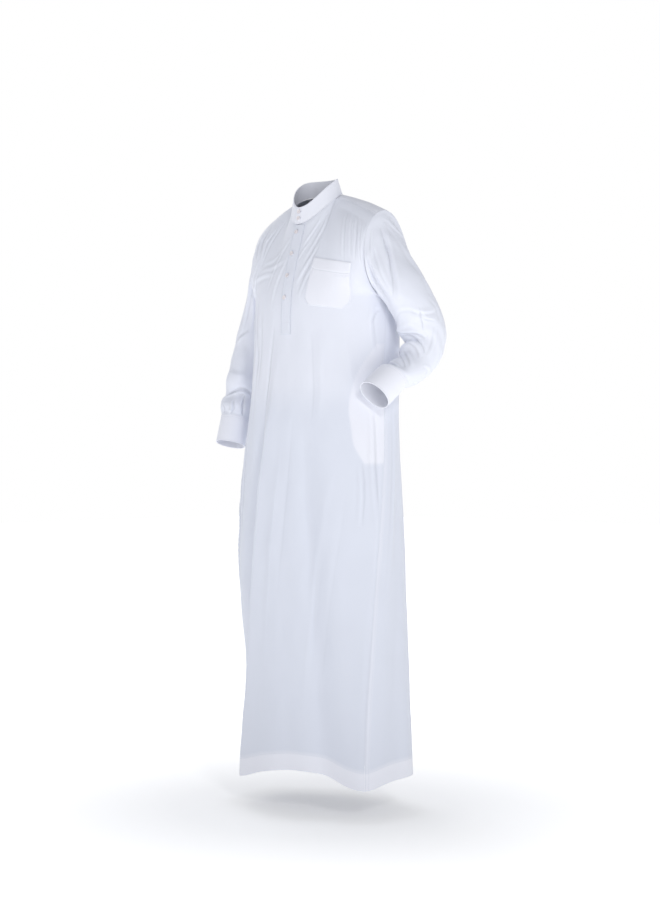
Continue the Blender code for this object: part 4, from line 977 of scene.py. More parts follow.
def rim_edges(faces):
    """The directed edges that only one face has."""
    edges = np.concatenate([np.stack((faces[:, k], faces[:, (k + 1) % 4]), -1) for k in range(4)])
    known = set(map(tuple, edges.tolist()))
    return [edge for edge in known if (edge[1], edge[0]) not in known]


def drawn_in(panel, rim):
    """The panel's places with its rim drawn in from the seam."""
    points = panel.points.copy()
    ways = {}
    for a, b in rim:
        along = panel.points[b] - panel.points[a]
        inward = np.cross(panel.normals[a], along / max(np.linalg.norm(along), 1e-9))
        for point in (a, b):
            ways.setdefault(point, []).append(inward)
    for point, both in ways.items():
        total = sum(both)
        points[point] += total / max(np.linalg.norm(total), 1e-9) * GAP
    return points


def build_shell(panel, material, nodes):
    """The panel as a thin closed shell that takes the place of its nodes."""
    rim = sorted(rim_edges(panel.faces))
    outer = drawn_in(panel, rim)
    inner = outer - panel.normals * panel.wall[:, None]
    count = len(outer)
    a, b = np.array(rim).T
    edge_faces = np.stack((b, a, a + count, b + count), -1)
    faces = np.concatenate((panel.faces, panel.faces[:, ::-1] + count, edge_faces))
    # The fold value is turned by the material into painted shade in the troughs and a painted highlight on the
    # ridges.
    values = {"doubled": np.tile(panel.doubled, 2), "fold": np.tile(crease_shade_of(panel), 2)}
    return cloth_object(panel.name, np.concatenate((outer, inner)), faces, np.tile(panel.map, (2, 1)),
                        values, material, nodes)


def cloth_object(name, points, faces, cloth_map, values, material, nodes):
    """A mesh object with its cloth map, its doubled value, which also carries painted light, and its fold value for
    painted crease shade and highlight.
    """
    used = np.unique(faces)
    number = np.zeros(len(points), int)
    number[used] = np.arange(len(used))
    faces = number[faces]
    mesh = bpy.data.meshes.new(name)
    mesh.from_pydata(points[used].tolist(), [], faces.tolist())
    layer = mesh.uv_layers.new(name="Cloth")
    loops = np.empty(len(mesh.loops), int)
    mesh.loops.foreach_get("vertex_index", loops)
    layer.data.foreach_set("uv", cloth_map[used][loops].reshape(-1))
    for label, amounts in values.items():
        value = mesh.attributes.new(label, "FLOAT", "POINT")
        value.data.foreach_set("value", amounts[used].astype(np.float32))
    mesh.shade_smooth()
    mesh.set_sharp_from_angle(angle=math.radians(60))
    piece = bpy.data.objects.new(name, mesh)
    bpy.context.scene.collection.objects.link(piece)
    piece.data.materials.append(material)
    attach(piece, "root")
    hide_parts(*nodes)
    return piece

# %% [markdown]
# ## Shirting
# The cloth is a fine plain weave of white cotton and polyester with a slight sheen. One node group
# makes the weave from the cloth's own map, and another the soft unevenness of worn white cloth, with
# painted shade in the troughs of the creases and a fainter painted highlight on their ridges. Where the
# cloth is doubled, less of what lies behind shows through, so it is whiter; the chest and the sleeves are
# painted whiter as well, which is painted light.

# %% Node groups
def new_group(name, inputs, outputs):
    """A shader group with named sockets."""
    group = bpy.data.node_groups.new(name, "ShaderNodeTree")
    for socket, kind, value in inputs:
        made = group.interface.new_socket(socket, in_out="INPUT", socket_type=kind)
        if value is not None:
            made.default_value = value
    for socket, kind in outputs:
        group.interface.new_socket(socket, in_out="OUTPUT", socket_type=kind)
    return group, group.nodes.new("NodeGroupInput"), group.nodes.new("NodeGroupOutput")


def node(tree, kind, **settings):
    """A node with its settings; a setting whose name is a socket's sets that socket."""
    made = tree.nodes.new(kind)
    for name, value in settings.items():
        if hasattr(made, name):
            setattr(made, name, value)
        else:
            made.inputs[name.replace("_", " ")].default_value = value
    return made


def math_node(tree, operation, first, second=None):
    """A Math node whose two inputs are sockets or numbers."""
    made = tree.nodes.new("ShaderNodeMath")
    made.operation = operation
    for socket, value in zip(made.inputs, (first, second)):
        if value is None:
            continue
        if isinstance(value, (int, float)):
            socket.default_value = value
        else:
            tree.links.new(value, socket)
    return made.outputs[0]


def weave_group():
    """Plain weave: rows of threads over and under each other, from a map in metres."""
    group, inside, outside = new_group(
        "Plain weave",
        [("Map", "NodeSocketVector", None), ("Threads per metre", "NodeSocketFloat", 1800.0)],
        [("Height", "NodeSocketFloat"), ("Thread", "NodeSocketFloat")])
    scale = node(group, "ShaderNodeVectorMath", operation="SCALE")
    group.links.new(inside.outputs["Map"], scale.inputs[0])
    group.links.new(inside.outputs["Threads per metre"], scale.inputs["Scale"])
    split = node(group, "ShaderNodeSeparateXYZ")
    group.links.new(scale.outputs[0], split.inputs[0])
    warp = math_node(group, "SINE", math_node(group, "MULTIPLY", split.outputs[0], math.pi))
    weft = math_node(group, "SINE", math_node(group, "MULTIPLY", split.outputs[1], math.pi))
    cross = math_node(group, "MULTIPLY", warp, weft)
    thread = math_node(group, "ADD", math_node(group, "MULTIPLY", cross, 0.5), 0.5)
    noise = node(group, "ShaderNodeTexNoise", Scale=0.11, Detail=2.0)
    group.links.new(scale.outputs[0], noise.inputs["Vector"])
    height = math_node(group, "ADD", thread, noise.outputs["Fac"])
    group.links.new(height, outside.inputs["Height"])
    group.links.new(thread, outside.inputs["Thread"])
    return group


def tone_group():
    """Large soft changes of tone over the cloth, the whiter look of doubled cloth and of the chest's painted light,
    and painted shade in the troughs of creases with a fainter painted highlight on their ridges.
    """
    group, inside, outside = new_group(
        "Cloth tone",
        [("Single", "NodeSocketColor", (0.7, 0.72, 0.8, 1.0)), ("Double", "NodeSocketColor", (0.8, 0.82, 0.88, 1.0)),
         ("Doubled", "NodeSocketFloat", 0.0), ("Change", "NodeSocketFloat", 0.04),
         ("Fold", "NodeSocketFloat", 0.0), ("Fold change", "NodeSocketFloat", 0.10)],
        [("Color", "NodeSocketColor")])
    coordinates = node(group, "ShaderNodeTexCoord")
    noise = node(group, "ShaderNodeTexNoise", Scale=7.0, Detail=3.0, Roughness=0.55)
    group.links.new(coordinates.outputs["Object"], noise.inputs["Vector"])
    mix = node(group, "ShaderNodeMix", data_type="RGBA")
    group.links.new(inside.outputs["Doubled"], mix.inputs["Factor"])
    group.links.new(inside.outputs["Single"], mix.inputs[6])
    group.links.new(inside.outputs["Double"], mix.inputs[7])
    off = math_node(group, "MULTIPLY", math_node(group, "SUBTRACT", noise.outputs["Fac"], 0.5),
                    inside.outputs["Change"])
    # Painted shade and highlight: the fold value darkens the troughs and, more weakly, lightens the ridges.
    trough = math_node(group, "MINIMUM", inside.outputs["Fold"], 0.0)
    bend = math_node(group, "ADD", math_node(group, "MULTIPLY", inside.outputs["Fold"], 0.35), trough)
    off = math_node(group, "ADD", off, math_node(group, "MULTIPLY", bend, inside.outputs["Fold change"]))
    bright = node(group, "ShaderNodeHueSaturation")
    group.links.new(mix.outputs[2], bright.inputs["Color"])
    group.links.new(math_node(group, "ADD", off, 1.0), bright.inputs["Value"])
    group.links.new(bright.outputs["Color"], outside.inputs["Color"])
    return group


WEAVE = weave_group()
TONE = tone_group()

# %% Shirting material
SINGLE_WHITE = (0.745, 0.775, 0.860, 1.0)
DOUBLE_WHITE = (0.870, 0.880, 0.945, 1.0)


def shirting(name, threads=1800.0, roughness=0.62, bump=0.12):
    """White shirting on the cloth's own map."""
    made = bpy.data.materials.new(name)
    made.use_nodes = True
    tree = made.node_tree
    shader = tree.nodes["Principled BSDF"]
    shader.inputs["Roughness"].default_value = roughness
    shader.inputs["Sheen Weight"].default_value = 0.25
    shader.inputs["Sheen Roughness"].default_value = 0.4
    shader.inputs["Specular IOR Level"].default_value = 0.35
    cloth_map = node(tree, "ShaderNodeUVMap", uv_map="Cloth")
    weave = node(tree, "ShaderNodeGroup", node_tree=WEAVE)
    weave.inputs["Threads per metre"].default_value = threads
    tree.links.new(cloth_map.outputs["UV"], weave.inputs["Map"])
    tone = node(tree, "ShaderNodeGroup", node_tree=TONE)
    tone.inputs["Single"].default_value = SINGLE_WHITE
    tone.inputs["Double"].default_value = DOUBLE_WHITE
    doubled = node(tree, "ShaderNodeAttribute", attribute_name="doubled")
    tree.links.new(doubled.outputs["Fac"], tone.inputs["Doubled"])
    # Painted shade in the creases and a painted highlight on their ridges, from the fold value.
    fold = node(tree, "ShaderNodeAttribute", attribute_name="fold")
    tree.links.new(fold.outputs["Fac"], tone.inputs["Fold"])
    tree.links.new(tone.outputs["Color"], shader.inputs["Base Color"])
    relief = node(tree, "ShaderNodeBump", Strength=bump, Distance=0.0002)
    tree.links.new(weave.outputs["Height"], relief.inputs["Height"])
    tree.links.new(relief.outputs["Normal"], shader.inputs["Normal"])
    return made


SHIRTING = shirting("shirting")

# %% [markdown]
# ## The front, the back and the yoke
# The front is one panel from neck to hem, with a slit down to the end of the placket. The back hangs
# from a yoke that reaches forward over both shoulders. The hem is turned up, so its cloth is doubled.

# %% Where the body is doubled, and where it is painted whiter
HEM_EDGE = 0.003
YOKE_DOUBLED = 0.8
SEAM_ALLOWANCE = 0.011
BAG_OUTLINE = ((-0.392, 0.925), (-0.434, 0.830), (-0.470, 0.762), (-0.510, 0.728), (-0.560, 0.718),
               (-0.600, 0.742), (-0.650, 0.778), (-0.695, 0.860))
BAG_SEAM_SHARE = 0.985
# Painted light: the chest and the sleeves are painted whiter than the skirt, fading out about this height.
UPPER_PAINTED_LIGHT = 0.45
UPPER_END_Z = -0.525


def upper_painted_light(level):
    """Painted light: the chest and the sleeves are painted whiter than the skirt."""
    return UPPER_PAINTED_LIGHT * smooth_step(body_height(level), UPPER_END_Z - 0.06, UPPER_END_Z + 0.05)


def hem_doubled(level):
    """1 where the hem is turned up."""
    down = body_height(level)
    return 1 - smooth_step(down, HEM_Z + HEM_TURN_UP - HEM_EDGE, HEM_Z + HEM_TURN_UP + HEM_EDGE)


def bag_doubled(share, level):
    """Where the bag of the side pocket lies behind the front."""
    down = np.where(level > 0, 0.0, ARMPIT_Z + np.minimum(level, 0.0))
    edge = smooth_values(BAG_OUTLINE, down)[..., 1]
    inside = smooth_step(share, edge - 0.012, edge + 0.012)
    ends = smooth_step(down, BAG_OUTLINE[-1][0] - 0.003, BAG_OUTLINE[-1][0] + 0.003)
    return inside * ends * (1 - smooth_step(down, BAG_OUTLINE[0][0] - 0.003, BAG_OUTLINE[0][0] + 0.003))


def seam_doubled(share):
    """Where the allowance of a side seam lies behind the cloth."""
    side = (1 - np.abs(share)) * PANEL_HALF_WIDTH
    return 0.35 * (1 - smooth_step(side, SEAM_ALLOWANCE - 0.003, SEAM_ALLOWANCE + 0.003))


# %% Front, back and yoke grids
def body_panel(name, surface, shares, levels, doubled, left_out=()):
    """The front's or the back's grid, thicker at the hem."""
    share, level = shares[None, :], levels[:, None]
    points = dressed(surface, share, level)
    wall = np.where(hem_doubled(level) > 0.5, DOUBLE_THICK, SINGLE_THICK)
    return Panel(name, points, (share * PANEL_HALF_WIDTH, body_height(level)), wall, doubled, left_out=left_out)


share_grid, level_grid = np.meshgrid(front_shares, front_levels)
front_doubled_and_painted_light = np.maximum(hem_doubled(level_grid), bag_doubled(share_grid, level_grid) * 0.9)
# The chest is painted whiter: painted light, carried in the doubled value.
front_doubled_and_painted_light = np.maximum(front_doubled_and_painted_light, upper_painted_light(level_grid))
slit_column = len(half_shares) - 1
slit = [(row, slit_column) for row in range(len(front_levels) - 1) if front_levels[row] > SLIT_END_Z - ARMPIT_Z]
front_panel = body_panel("front_cloth", FRONT, front_shares, front_levels, front_doubled_and_painted_light, slit)
back_doubled_and_painted_light = np.maximum(hem_doubled(back_levels[:, None]), seam_doubled(back_shares[None, :]))
# The back above the waist is painted whiter too: painted light, carried in the doubled value.
back_doubled_and_painted_light = np.maximum(back_doubled_and_painted_light, upper_painted_light(back_levels[:, None]))
back_panel = body_panel("back_cloth", BACK, back_shares, back_levels, back_doubled_and_painted_light)
yoke_panel = Panel("yoke_cloth", dressed(YOKE, yoke_shares[None, :], shoulder_parts[:, None]),
                   (yoke_shares[None, :] * YOKE_HALF_ACROSS, shoulder_parts[:, None] * YOKE_DEEP),
                   DOUBLE_THICK, YOKE_DOUBLED)

# %% [markdown]
# ## The sleeves, the cuffs and the collar
# A shirt sleeve is a tube set into the armhole, gathered a little into its cuff. Collar and cuffs are
# stiffer than the rest: two layers of shirting with a third between them, so they stay smooth.

# %% Sleeve, cuff and collar grids
COLLAR_ROWS = 14
CUFF_ROWS = 22
CUFF_DOUBLED = 0.9
BAND_THICK = 0.0018
CUFF_DEEP = 0.075


def sleeve_panel(name, side):
    """A sleeve's grid, closed round the arm."""
    count = len(LEFT_SLEEVE if side > 0 else RIGHT_SLEEVE) - 1
    along = np.linspace(0, count, SLEEVE_STEPS * count + 1)[:, None]
    around = armhole_turns[None, :]
    points = dressed(SLEEVES[side], around, along)
    # The sleeve is painted whiter all over: painted light, carried in its doubled value.
    return Panel(name, points, (around * SLEEVE_SCALE[0], along * SLEEVE_SCALE[1]), SINGLE_THICK, UPPER_PAINTED_LIGHT,
                 closed=True, flip=side < 0)


def cuff_panel(name, side):
    """A cuff's grid, closed round the wrist."""
    part = np.linspace(0, 1, CUFF_ROWS + 1)[:, None]
    around = armhole_turns[None, :]
    points = dressed(CUFFS[side], around, part)
    return Panel(name, points, (around * SLEEVE_SCALE[0], part * CUFF_DEEP), BAND_THICK, CUFF_DOUBLED,
                 closed=True, flip=side < 0)


sleeve_panels = [sleeve_panel("sleeve_left_cloth", 1), sleeve_panel("sleeve_right_cloth", -1)]
cuff_panels = [cuff_panel("cuff_left_cloth", 1), cuff_panel("cuff_right_cloth", -1)]
collar_turns = np.concatenate((np.linspace(-COLLAR_LAP, neck_turns[0], 14)[:-1], neck_turns))
collar_parts = np.linspace(1, 0, COLLAR_ROWS + 1)
collar_panel = Panel("collar_cloth", dressed(COLLAR, collar_turns[None, :], collar_parts[:, None]),
                     (collar_turns[None, :] * 0.0011, collar_parts[:, None] * 0.04), BAND_THICK, CUFF_DOUBLED)


# %% [markdown]
# ## What is sewn onto the front
# The placket, the patch pocket and the bag of the side pocket lie on the front's own places, moved out or in, so they
# follow its folds. A search finds the place on the front that has a given width and height.

# %% Find a place on the front
CHEST_HALF_WIDTH = 0.24
SEARCH_STEPS = 8


def front_place(x, z):
    """The share and level at which the front has a given x and z."""
    x, z = np.broadcast_arrays(np.asarray(x, float), np.asarray(z, float))
    share = x / CHEST_HALF_WIDTH
    level = np.where(z > ARMPIT_Z, (z - ARMPIT_Z) / CHEST_HEIGHT, z - ARMPIT_Z)
    step = 1e-4
    for _ in range(SEARCH_STEPS):
        here = front_point(share, level)
        by_share = (front_point(share + step, level) - here) / step
        by_level = (front_point(share, level + step) - here) / step
        off_x, off_z = x - here[..., 0], z - here[..., 2]
        size = by_share[..., 0] * by_level[..., 2] - by_share[..., 2] * by_level[..., 0]
        share = share + (off_x * by_level[..., 2] - off_z * by_level[..., 0]) / size
        level = level + (off_z * by_share[..., 0] - off_x * by_share[..., 2]) / size
    return share, level


# %% Placket, chest pocket and pocket bag
LAID_GAP = 0.0006
SOFT_EDGE = 0.003
PLACKET_LEFT_X = 0.022
PLACKET_RIGHT_X = -0.011
PLACKET_TOP_Z = front_top(0.0)[2] - 0.0015
PLACKET_END_Z = -0.369
POCKET_CORNERS = np.array(((0.072, -0.176), (0.180, -0.196), (0.165, -0.311), (0.062, -0.296)))
POCKET_CLIP = 0.145
POCKET_CLIP_WIDTH = 0.125
POCKET_BAND = 0.24
POCKET_BAND_THICK = 0.0006
POCKET_PUFF = 0.0010
LAID_THICK = 0.0014


def laid_panel(name, x, z, size, thick=LAID_THICK, extra=0.0, doubled=1.0):
    """A patch on the front: its edges are rolled, so it is thinner there."""
    rows, columns = x.shape
    share, level = front_place(x, z)
    across = np.linspace(0, size[0], columns)[None, :]
    down = np.linspace(0, size[1], rows)[:, None]
    edge = np.minimum(np.minimum(across, size[0] - across), np.minimum(down, size[1] - down))
    full = (thick + extra) * (0.45 + 0.55 * smooth_step(edge, 0.0, SOFT_EDGE))
    return Panel(name, dressed(FRONT, share, level, LAID_GAP + full), (across, -down), full, doubled)


def patch_places(corners, right, down):
    """Places on a four-cornered patch."""
    top = corners[0] + (corners[1] - corners[0]) * right[..., None]
    low = corners[3] + (corners[2] - corners[3]) * right[..., None]
    return top + (low - top) * down[..., None]


def pocket_places(right, down):
    """Places on the chest pocket, whose lower corners are cut off."""
    clip = POCKET_CLIP * np.clip(1 - np.minimum(right, 1 - right) / POCKET_CLIP_WIDTH, 0, 1)
    return patch_places(POCKET_CORNERS, right, down * (1 - clip))


def pocket_puff(right, down):
    """How far the chest pocket stands off between its seams."""
    return POCKET_PUFF * np.sin(np.pi * right) * np.sin(np.pi * np.clip(down, 0, 1)) ** 0.5


placket_x, placket_z = np.meshgrid(np.linspace(PLACKET_RIGHT_X, PLACKET_LEFT_X, 17),
                                   np.linspace(PLACKET_TOP_Z, PLACKET_END_Z, 120))
placket_panel = laid_panel("placket_cloth", placket_x, placket_z, (0.033, 0.285), doubled=0.3)
pocket_right, pocket_down = np.meshgrid(np.linspace(0, 1, 49), np.linspace(0, 1, 57))
pocket_spots = pocket_places(pocket_right, pocket_down)
pocket_band = POCKET_BAND_THICK * (1 - smooth_step(pocket_down, POCKET_BAND - 0.01, POCKET_BAND + 0.01))
pocket_panel = laid_panel("chest_pocket_cloth", pocket_spots[..., 0], pocket_spots[..., 1], (0.110, 0.118),
                          extra=pocket_band + pocket_puff(pocket_right, pocket_down))

BAG_ROWS = 60
BAG_COLUMNS = 24
BAG_THICK = 0.0016
BAG_INSIDE = -0.0045
bag_z = np.linspace(BAG_OUTLINE[0][0], BAG_OUTLINE[-1][0], BAG_ROWS)[:, None]
bag_edge = smooth_values(BAG_OUTLINE, bag_z[:, 0])[:, 1][:, None]
bag_share = bag_edge + (BAG_SEAM_SHARE - bag_edge) * np.linspace(0, 1, BAG_COLUMNS)[None, :]
bag_level = np.broadcast_to(bag_z - ARMPIT_Z, bag_share.shape)
bag_panel = Panel("side_pocket_bag_cloth", dressed(FRONT, bag_share, bag_level, BAG_INSIDE + BAG_THICK),
                  (bag_share * PANEL_HALF_WIDTH, bag_z), BAG_THICK, 1.0)

# %% Make the shells
panels = [front_panel, back_panel, yoke_panel, collar_panel] + sleeve_panels + cuff_panels
panels += [placket_panel, pocket_panel, bag_panel]
share_directions(panels)
NODE_OF = {panel.name: panel.name.replace("_cloth", "") for panel in panels}
for panel in panels:
    replaced = NODE_OF[panel.name]
    build_shell(panel, SHIRTING, [replaced])


# %% The flat cut of each panel
def cut_of(panel):
    """The greatest width and length along the cloth, and the area of its outer face."""
    grid = panel.points.reshape(panel.rows, panel.columns, 3)
    across = np.linalg.norm(np.diff(grid, axis=1), axis=-1).sum(1).max()
    if panel.closed:
        across += np.linalg.norm(grid[:, 0] - grid[:, -1], axis=-1).max()
    along = np.linalg.norm(np.diff(grid, axis=0), axis=-1).sum(0).max()
    a, b, c, d = (panel.points[panel.faces[:, k]] for k in range(4))
    area = np.linalg.norm(np.cross(c - a, d - b), axis=1).sum() / 2
    return round(float(across), 4), round(float(along), 4), round(float(area), 4)


cuts = {NODE_OF[panel.name]: cut_of(panel) for panel in panels}

# %% [markdown]
# ## Sewing
# Rows of stitches are what tells a made thing from a model of one. A row follows a line on a surface. Each
# stitch is a short bar of thread, thicker in the middle, that dips into the cloth at both ends.

# %% Rows of stitches
STITCH_PITCH = 0.0031
STITCH_LENGTH = 0.0024
THREAD_RADIUS = 0.00030
THREAD_STANDS = 0.6
EDGE_STITCH = 0.0018
SECOND_ROW = EDGE_STITCH + 0.005
ARMHOLE_ROW = 0.008


def even_run(line, values, pitch):
    """The values of a line's points, read at even distances along it."""
    lengths = np.concatenate(([0.0], np.cumsum(np.linalg.norm(np.diff(line, axis=0), axis=1))))
    wanted = np.arange(pitch / 2, lengths[-1], pitch)
    return np.stack([np.interp(wanted, lengths, values[:, axis]) for axis in range(3)], -1)


class Sewing:
    """The stitches of one piece, collected row by row and made one mesh."""

    def __init__(self):
        self.points = []
        self.faces = []
        self.count = 0

    def bar(self, middle, along, up, length, radius):
        """One stitch: three rings of four points."""
        side = np.cross(along, up)
        rings = []
        for place, size, sink in ((-0.5, 0.45, 0.8), (0.0, 1.0, 0.0), (0.5, 0.45, 0.8)):
            centre = middle + along * length * place - up * radius * sink
            rings += [centre + side * radius * size, centre + up * radius * size,
                      centre - side * radius * size, centre - up * radius * size]
        start = self.count
        self.points += rings
        self.faces += [(start, start + 1, start + 2, start + 3), (start + 11, start + 10, start + 9, start + 8)]
        for ring in (0, 4):
            for k in range(4):
                a, b = start + ring + k, start + ring + (k + 1) % 4
                self.faces.append((a, a + 4, b + 4, b))
        self.count += 12

    def row(self, surface, u, v, gap=0.0, pitch=STITCH_PITCH):
        """A row of stitches along a line on a surface."""
        u, v = np.broadcast_arrays(np.asarray(u, float), np.asarray(v, float))
        lift = gap + THREAD_RADIUS * THREAD_STANDS
        places = dressed(surface, u, v, lift)
        above = dressed(surface, u, v, lift + 0.001)
        middles = even_run(places, places, pitch)
        ups = even_run(places, above - places, pitch)
        alongs = np.gradient(middles, axis=0) if len(middles) > 1 else np.array([[0.0, 0.0, 1.0]])
        for middle, along, up in zip(middles, alongs, ups):
            up = up / np.linalg.norm(up)
            along = along / np.linalg.norm(along)
            self.bar(middle, along, up, STITCH_LENGTH, THREAD_RADIUS)

    def make(self, name, material, slot):
        """All the rows as one mesh object."""
        mesh = bpy.data.meshes.new(name)
        mesh.from_pydata([tuple(point) for point in self.points], [], self.faces)
        made = bmesh.new()
        made.from_mesh(mesh)
        bmesh.ops.recalc_face_normals(made, faces=made.faces)
        made.to_mesh(mesh)
        made.free()
        mesh.shade_smooth()
        piece = bpy.data.objects.new(name, mesh)
        bpy.context.scene.collection.objects.link(piece)
        mesh.materials.append(material)
        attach(piece, "root")
        return piece


def thread_with_painted_shade():
    """Polyester thread: white, smoother than the cloth, painted grey-blue for the shade of the grooves it lies in."""
    made = bpy.data.materials.new("thread")
    made.use_nodes = True
    shader = made.node_tree.nodes["Principled BSDF"]
    shader.inputs["Roughness"].default_value = 0.45
    noise = node(made.node_tree, "ShaderNodeTexNoise", Scale=900.0, Detail=1.0)
    coordinates = node(made.node_tree, "ShaderNodeTexCoord")
    made.node_tree.links.new(coordinates.outputs["Object"], noise.inputs["Vector"])
    ramp = node(made.node_tree, "ShaderNodeValToRGB")
    # Painted shade: the thread is coloured grey-blue, greyer than the white cloth, for the shade in its grooves; the
    # noise varies it at random.
    ramp.color_ramp.elements[0].color = (0.60, 0.63, 0.72, 1)
    ramp.color_ramp.elements[1].color = (0.78, 0.80, 0.88, 1)
    made.node_tree.links.new(noise.outputs["Fac"], ramp.inputs["Fac"])
    made.node_tree.links.new(ramp.outputs["Color"], shader.inputs["Base Color"])
    return made


THREAD_WITH_PAINTED_SHADE = thread_with_painted_shade()

# %% Sew the body
line = np.linspace(0, 1, 400)
lower = np.linspace(0, HEM_Z - ARMPIT_Z, 400)
armhole_run = np.linspace(0.02, 0.97, 300)

front_sewing = Sewing()
back_sewing = Sewing()
hem_line = HEM_Z + HEM_TURN_UP - EDGE_STITCH - ARMPIT_Z
front_sewing.row(FRONT, np.linspace(-0.995, 0.995, 400), hem_line)
back_sewing.row(BACK, np.linspace(-0.995, 0.995, 400), hem_line)
for side in (1, -1):
    for inset in (EDGE_STITCH, EDGE_STITCH + 0.007):
        back_sewing.row(BACK, side * (1 - inset / PANEL_HALF_WIDTH), lower)
    front_sewing.row(FRONT, side * (1 - ARMHOLE_ROW / PANEL_HALF_WIDTH), armhole_run)
    back_sewing.row(BACK, side * (1 - ARMHOLE_ROW / PANEL_HALF_WIDTH), armhole_run)
front_sewing.make("front_stitches", THREAD_WITH_PAINTED_SHADE, "front")
back_sewing.make("back_stitches", THREAD_WITH_PAINTED_SHADE, "back")

yoke_sewing = Sewing()
inner = 1 - YOKE_ARM_SHARE
for inset in (EDGE_STITCH, SECOND_ROW):
    yoke_sewing.row(YOKE, np.linspace(inner, -inner, 400), 1 - inset / YOKE_DEEP)
for side in (1, -1):
    for inset in (EDGE_STITCH, SECOND_ROW):
        yoke_sewing.row(YOKE, side * (1 - inset / YOKE_HALF_ACROSS), np.linspace(0.02, 0.98, 200))
yoke_sewing.make("yoke_stitches", THREAD_WITH_PAINTED_SHADE, "yoke")
print("stitches on the front, back and yoke:", [sewing.count // 12 for sewing in (front_sewing, back_sewing,
                                                                                  yoke_sewing)])

# %% Sew the collar and the cuffs
collar_sewing = Sewing()
collar_ends = (-COLLAR_LAP + 1.6, 358.0)
for part in (0.06, 0.94):
    collar_sewing.row(COLLAR, np.linspace(*collar_ends, 500), part)
collar_sewing.row(COLLAR, collar_ends[0], np.linspace(0.06, 0.94, 60))
collar_sewing.make("collar_stitches", THREAD_WITH_PAINTED_SHADE, "collar")
for side, name in ((1, "left"), (-1, "right")):
    cuff_sewing = Sewing()
    for part in (0.03, 0.10, 0.965):
        cuff_sewing.row(CUFFS[side], np.linspace(0, 360, 400), part)
    cuff_sewing.make(f"cuff_{name}_stitches", THREAD_WITH_PAINTED_SHADE, f"cuff_{name}")


# %% Sew the placket and the pocket
def sew_patch(sewing, x, z, gap):
    """A row over a patch, through places given by width and height."""
    share, level = front_place(x, z)
    sewing.row(FRONT, share, level, gap)


placket_gap = LAID_GAP + LAID_THICK
placket_sewing = Sewing()
for x in (PLACKET_RIGHT_X + EDGE_STITCH, PLACKET_LEFT_X - EDGE_STITCH):
    sew_patch(placket_sewing, x, PLACKET_TOP_Z + (PLACKET_END_Z + EDGE_STITCH - PLACKET_TOP_Z) * line, placket_gap)
placket_inside = np.linspace(PLACKET_RIGHT_X + EDGE_STITCH, PLACKET_LEFT_X - EDGE_STITCH, 60)
for z in (PLACKET_END_Z + EDGE_STITCH, PLACKET_END_Z + 0.030):
    sew_patch(placket_sewing, placket_inside, z, placket_gap)
placket_sewing.make("placket_stitches", THREAD_WITH_PAINTED_SHADE, "placket")

pocket_sewing = Sewing()


def sew_pocket(right, down):
    """A row over the chest pocket, through places counted from its upper right corner."""
    right, down = np.broadcast_arrays(np.asarray(right, float), np.asarray(down, float))
    places = pocket_places(right, down)
    gap = (LAID_THICK + pocket_puff(right, down)) * 0.97 + LAID_GAP
    sew_patch(pocket_sewing, places[..., 0], places[..., 1], gap)


for right in (0.018, 0.982):
    sew_pocket(right, np.linspace(0.0, 0.985, 120))
sew_pocket(np.linspace(0.018, 0.982, 160), 0.983)
for down in (POCKET_BAND - 0.018, POCKET_BAND + 0.018):
    sew_pocket(np.linspace(0.02, 0.98, 120), down)
for down in (0.300, 0.326):
    sew_pocket(np.linspace(0.64, 0.98, 60), down)
pocket_sewing.make("chest_pocket_stitches", THREAD_WITH_PAINTED_SHADE, "chest_pocket")

# %% [markdown]
# ## Buttons
# Six pearly shirt buttons. One is turned on a round bar the way a button maker does it: a
# raised rim, a sunk middle and four holes. It is copied to each place with its cross of thread.

# %% One button
BUTTON_RADIUS = 0.0052
BUTTON_THICK = 0.0022
HOLE_RADIUS = 0.00075
HOLE_OFFSET = 0.0013


def pearl_material():
    """Pearly shell: a little pink and beige, with a clear gloss."""
    made = bpy.data.materials.new("pearl")
    made.use_nodes = True
    tree = made.node_tree
    shader = tree.nodes["Principled BSDF"]
    shader.inputs["Roughness"].default_value = 0.28
    shader.inputs["Coat Weight"].default_value = 0.4
    coordinates = node(tree, "ShaderNodeTexCoord")
    waves = node(tree, "ShaderNodeTexWave", Scale=180.0, Distortion=6.0, Detail=2.0)
    tree.links.new(coordinates.outputs["Object"], waves.inputs["Vector"])
    ramp = node(tree, "ShaderNodeValToRGB")
    ramp.color_ramp.elements[0].color = (0.80, 0.73, 0.74, 1)
    ramp.color_ramp.elements[1].color = (0.94, 0.90, 0.91, 1)
    tree.links.new(waves.outputs["Fac"], ramp.inputs["Fac"])
    tree.links.new(ramp.outputs["Color"], shader.inputs["Base Color"])
    return made


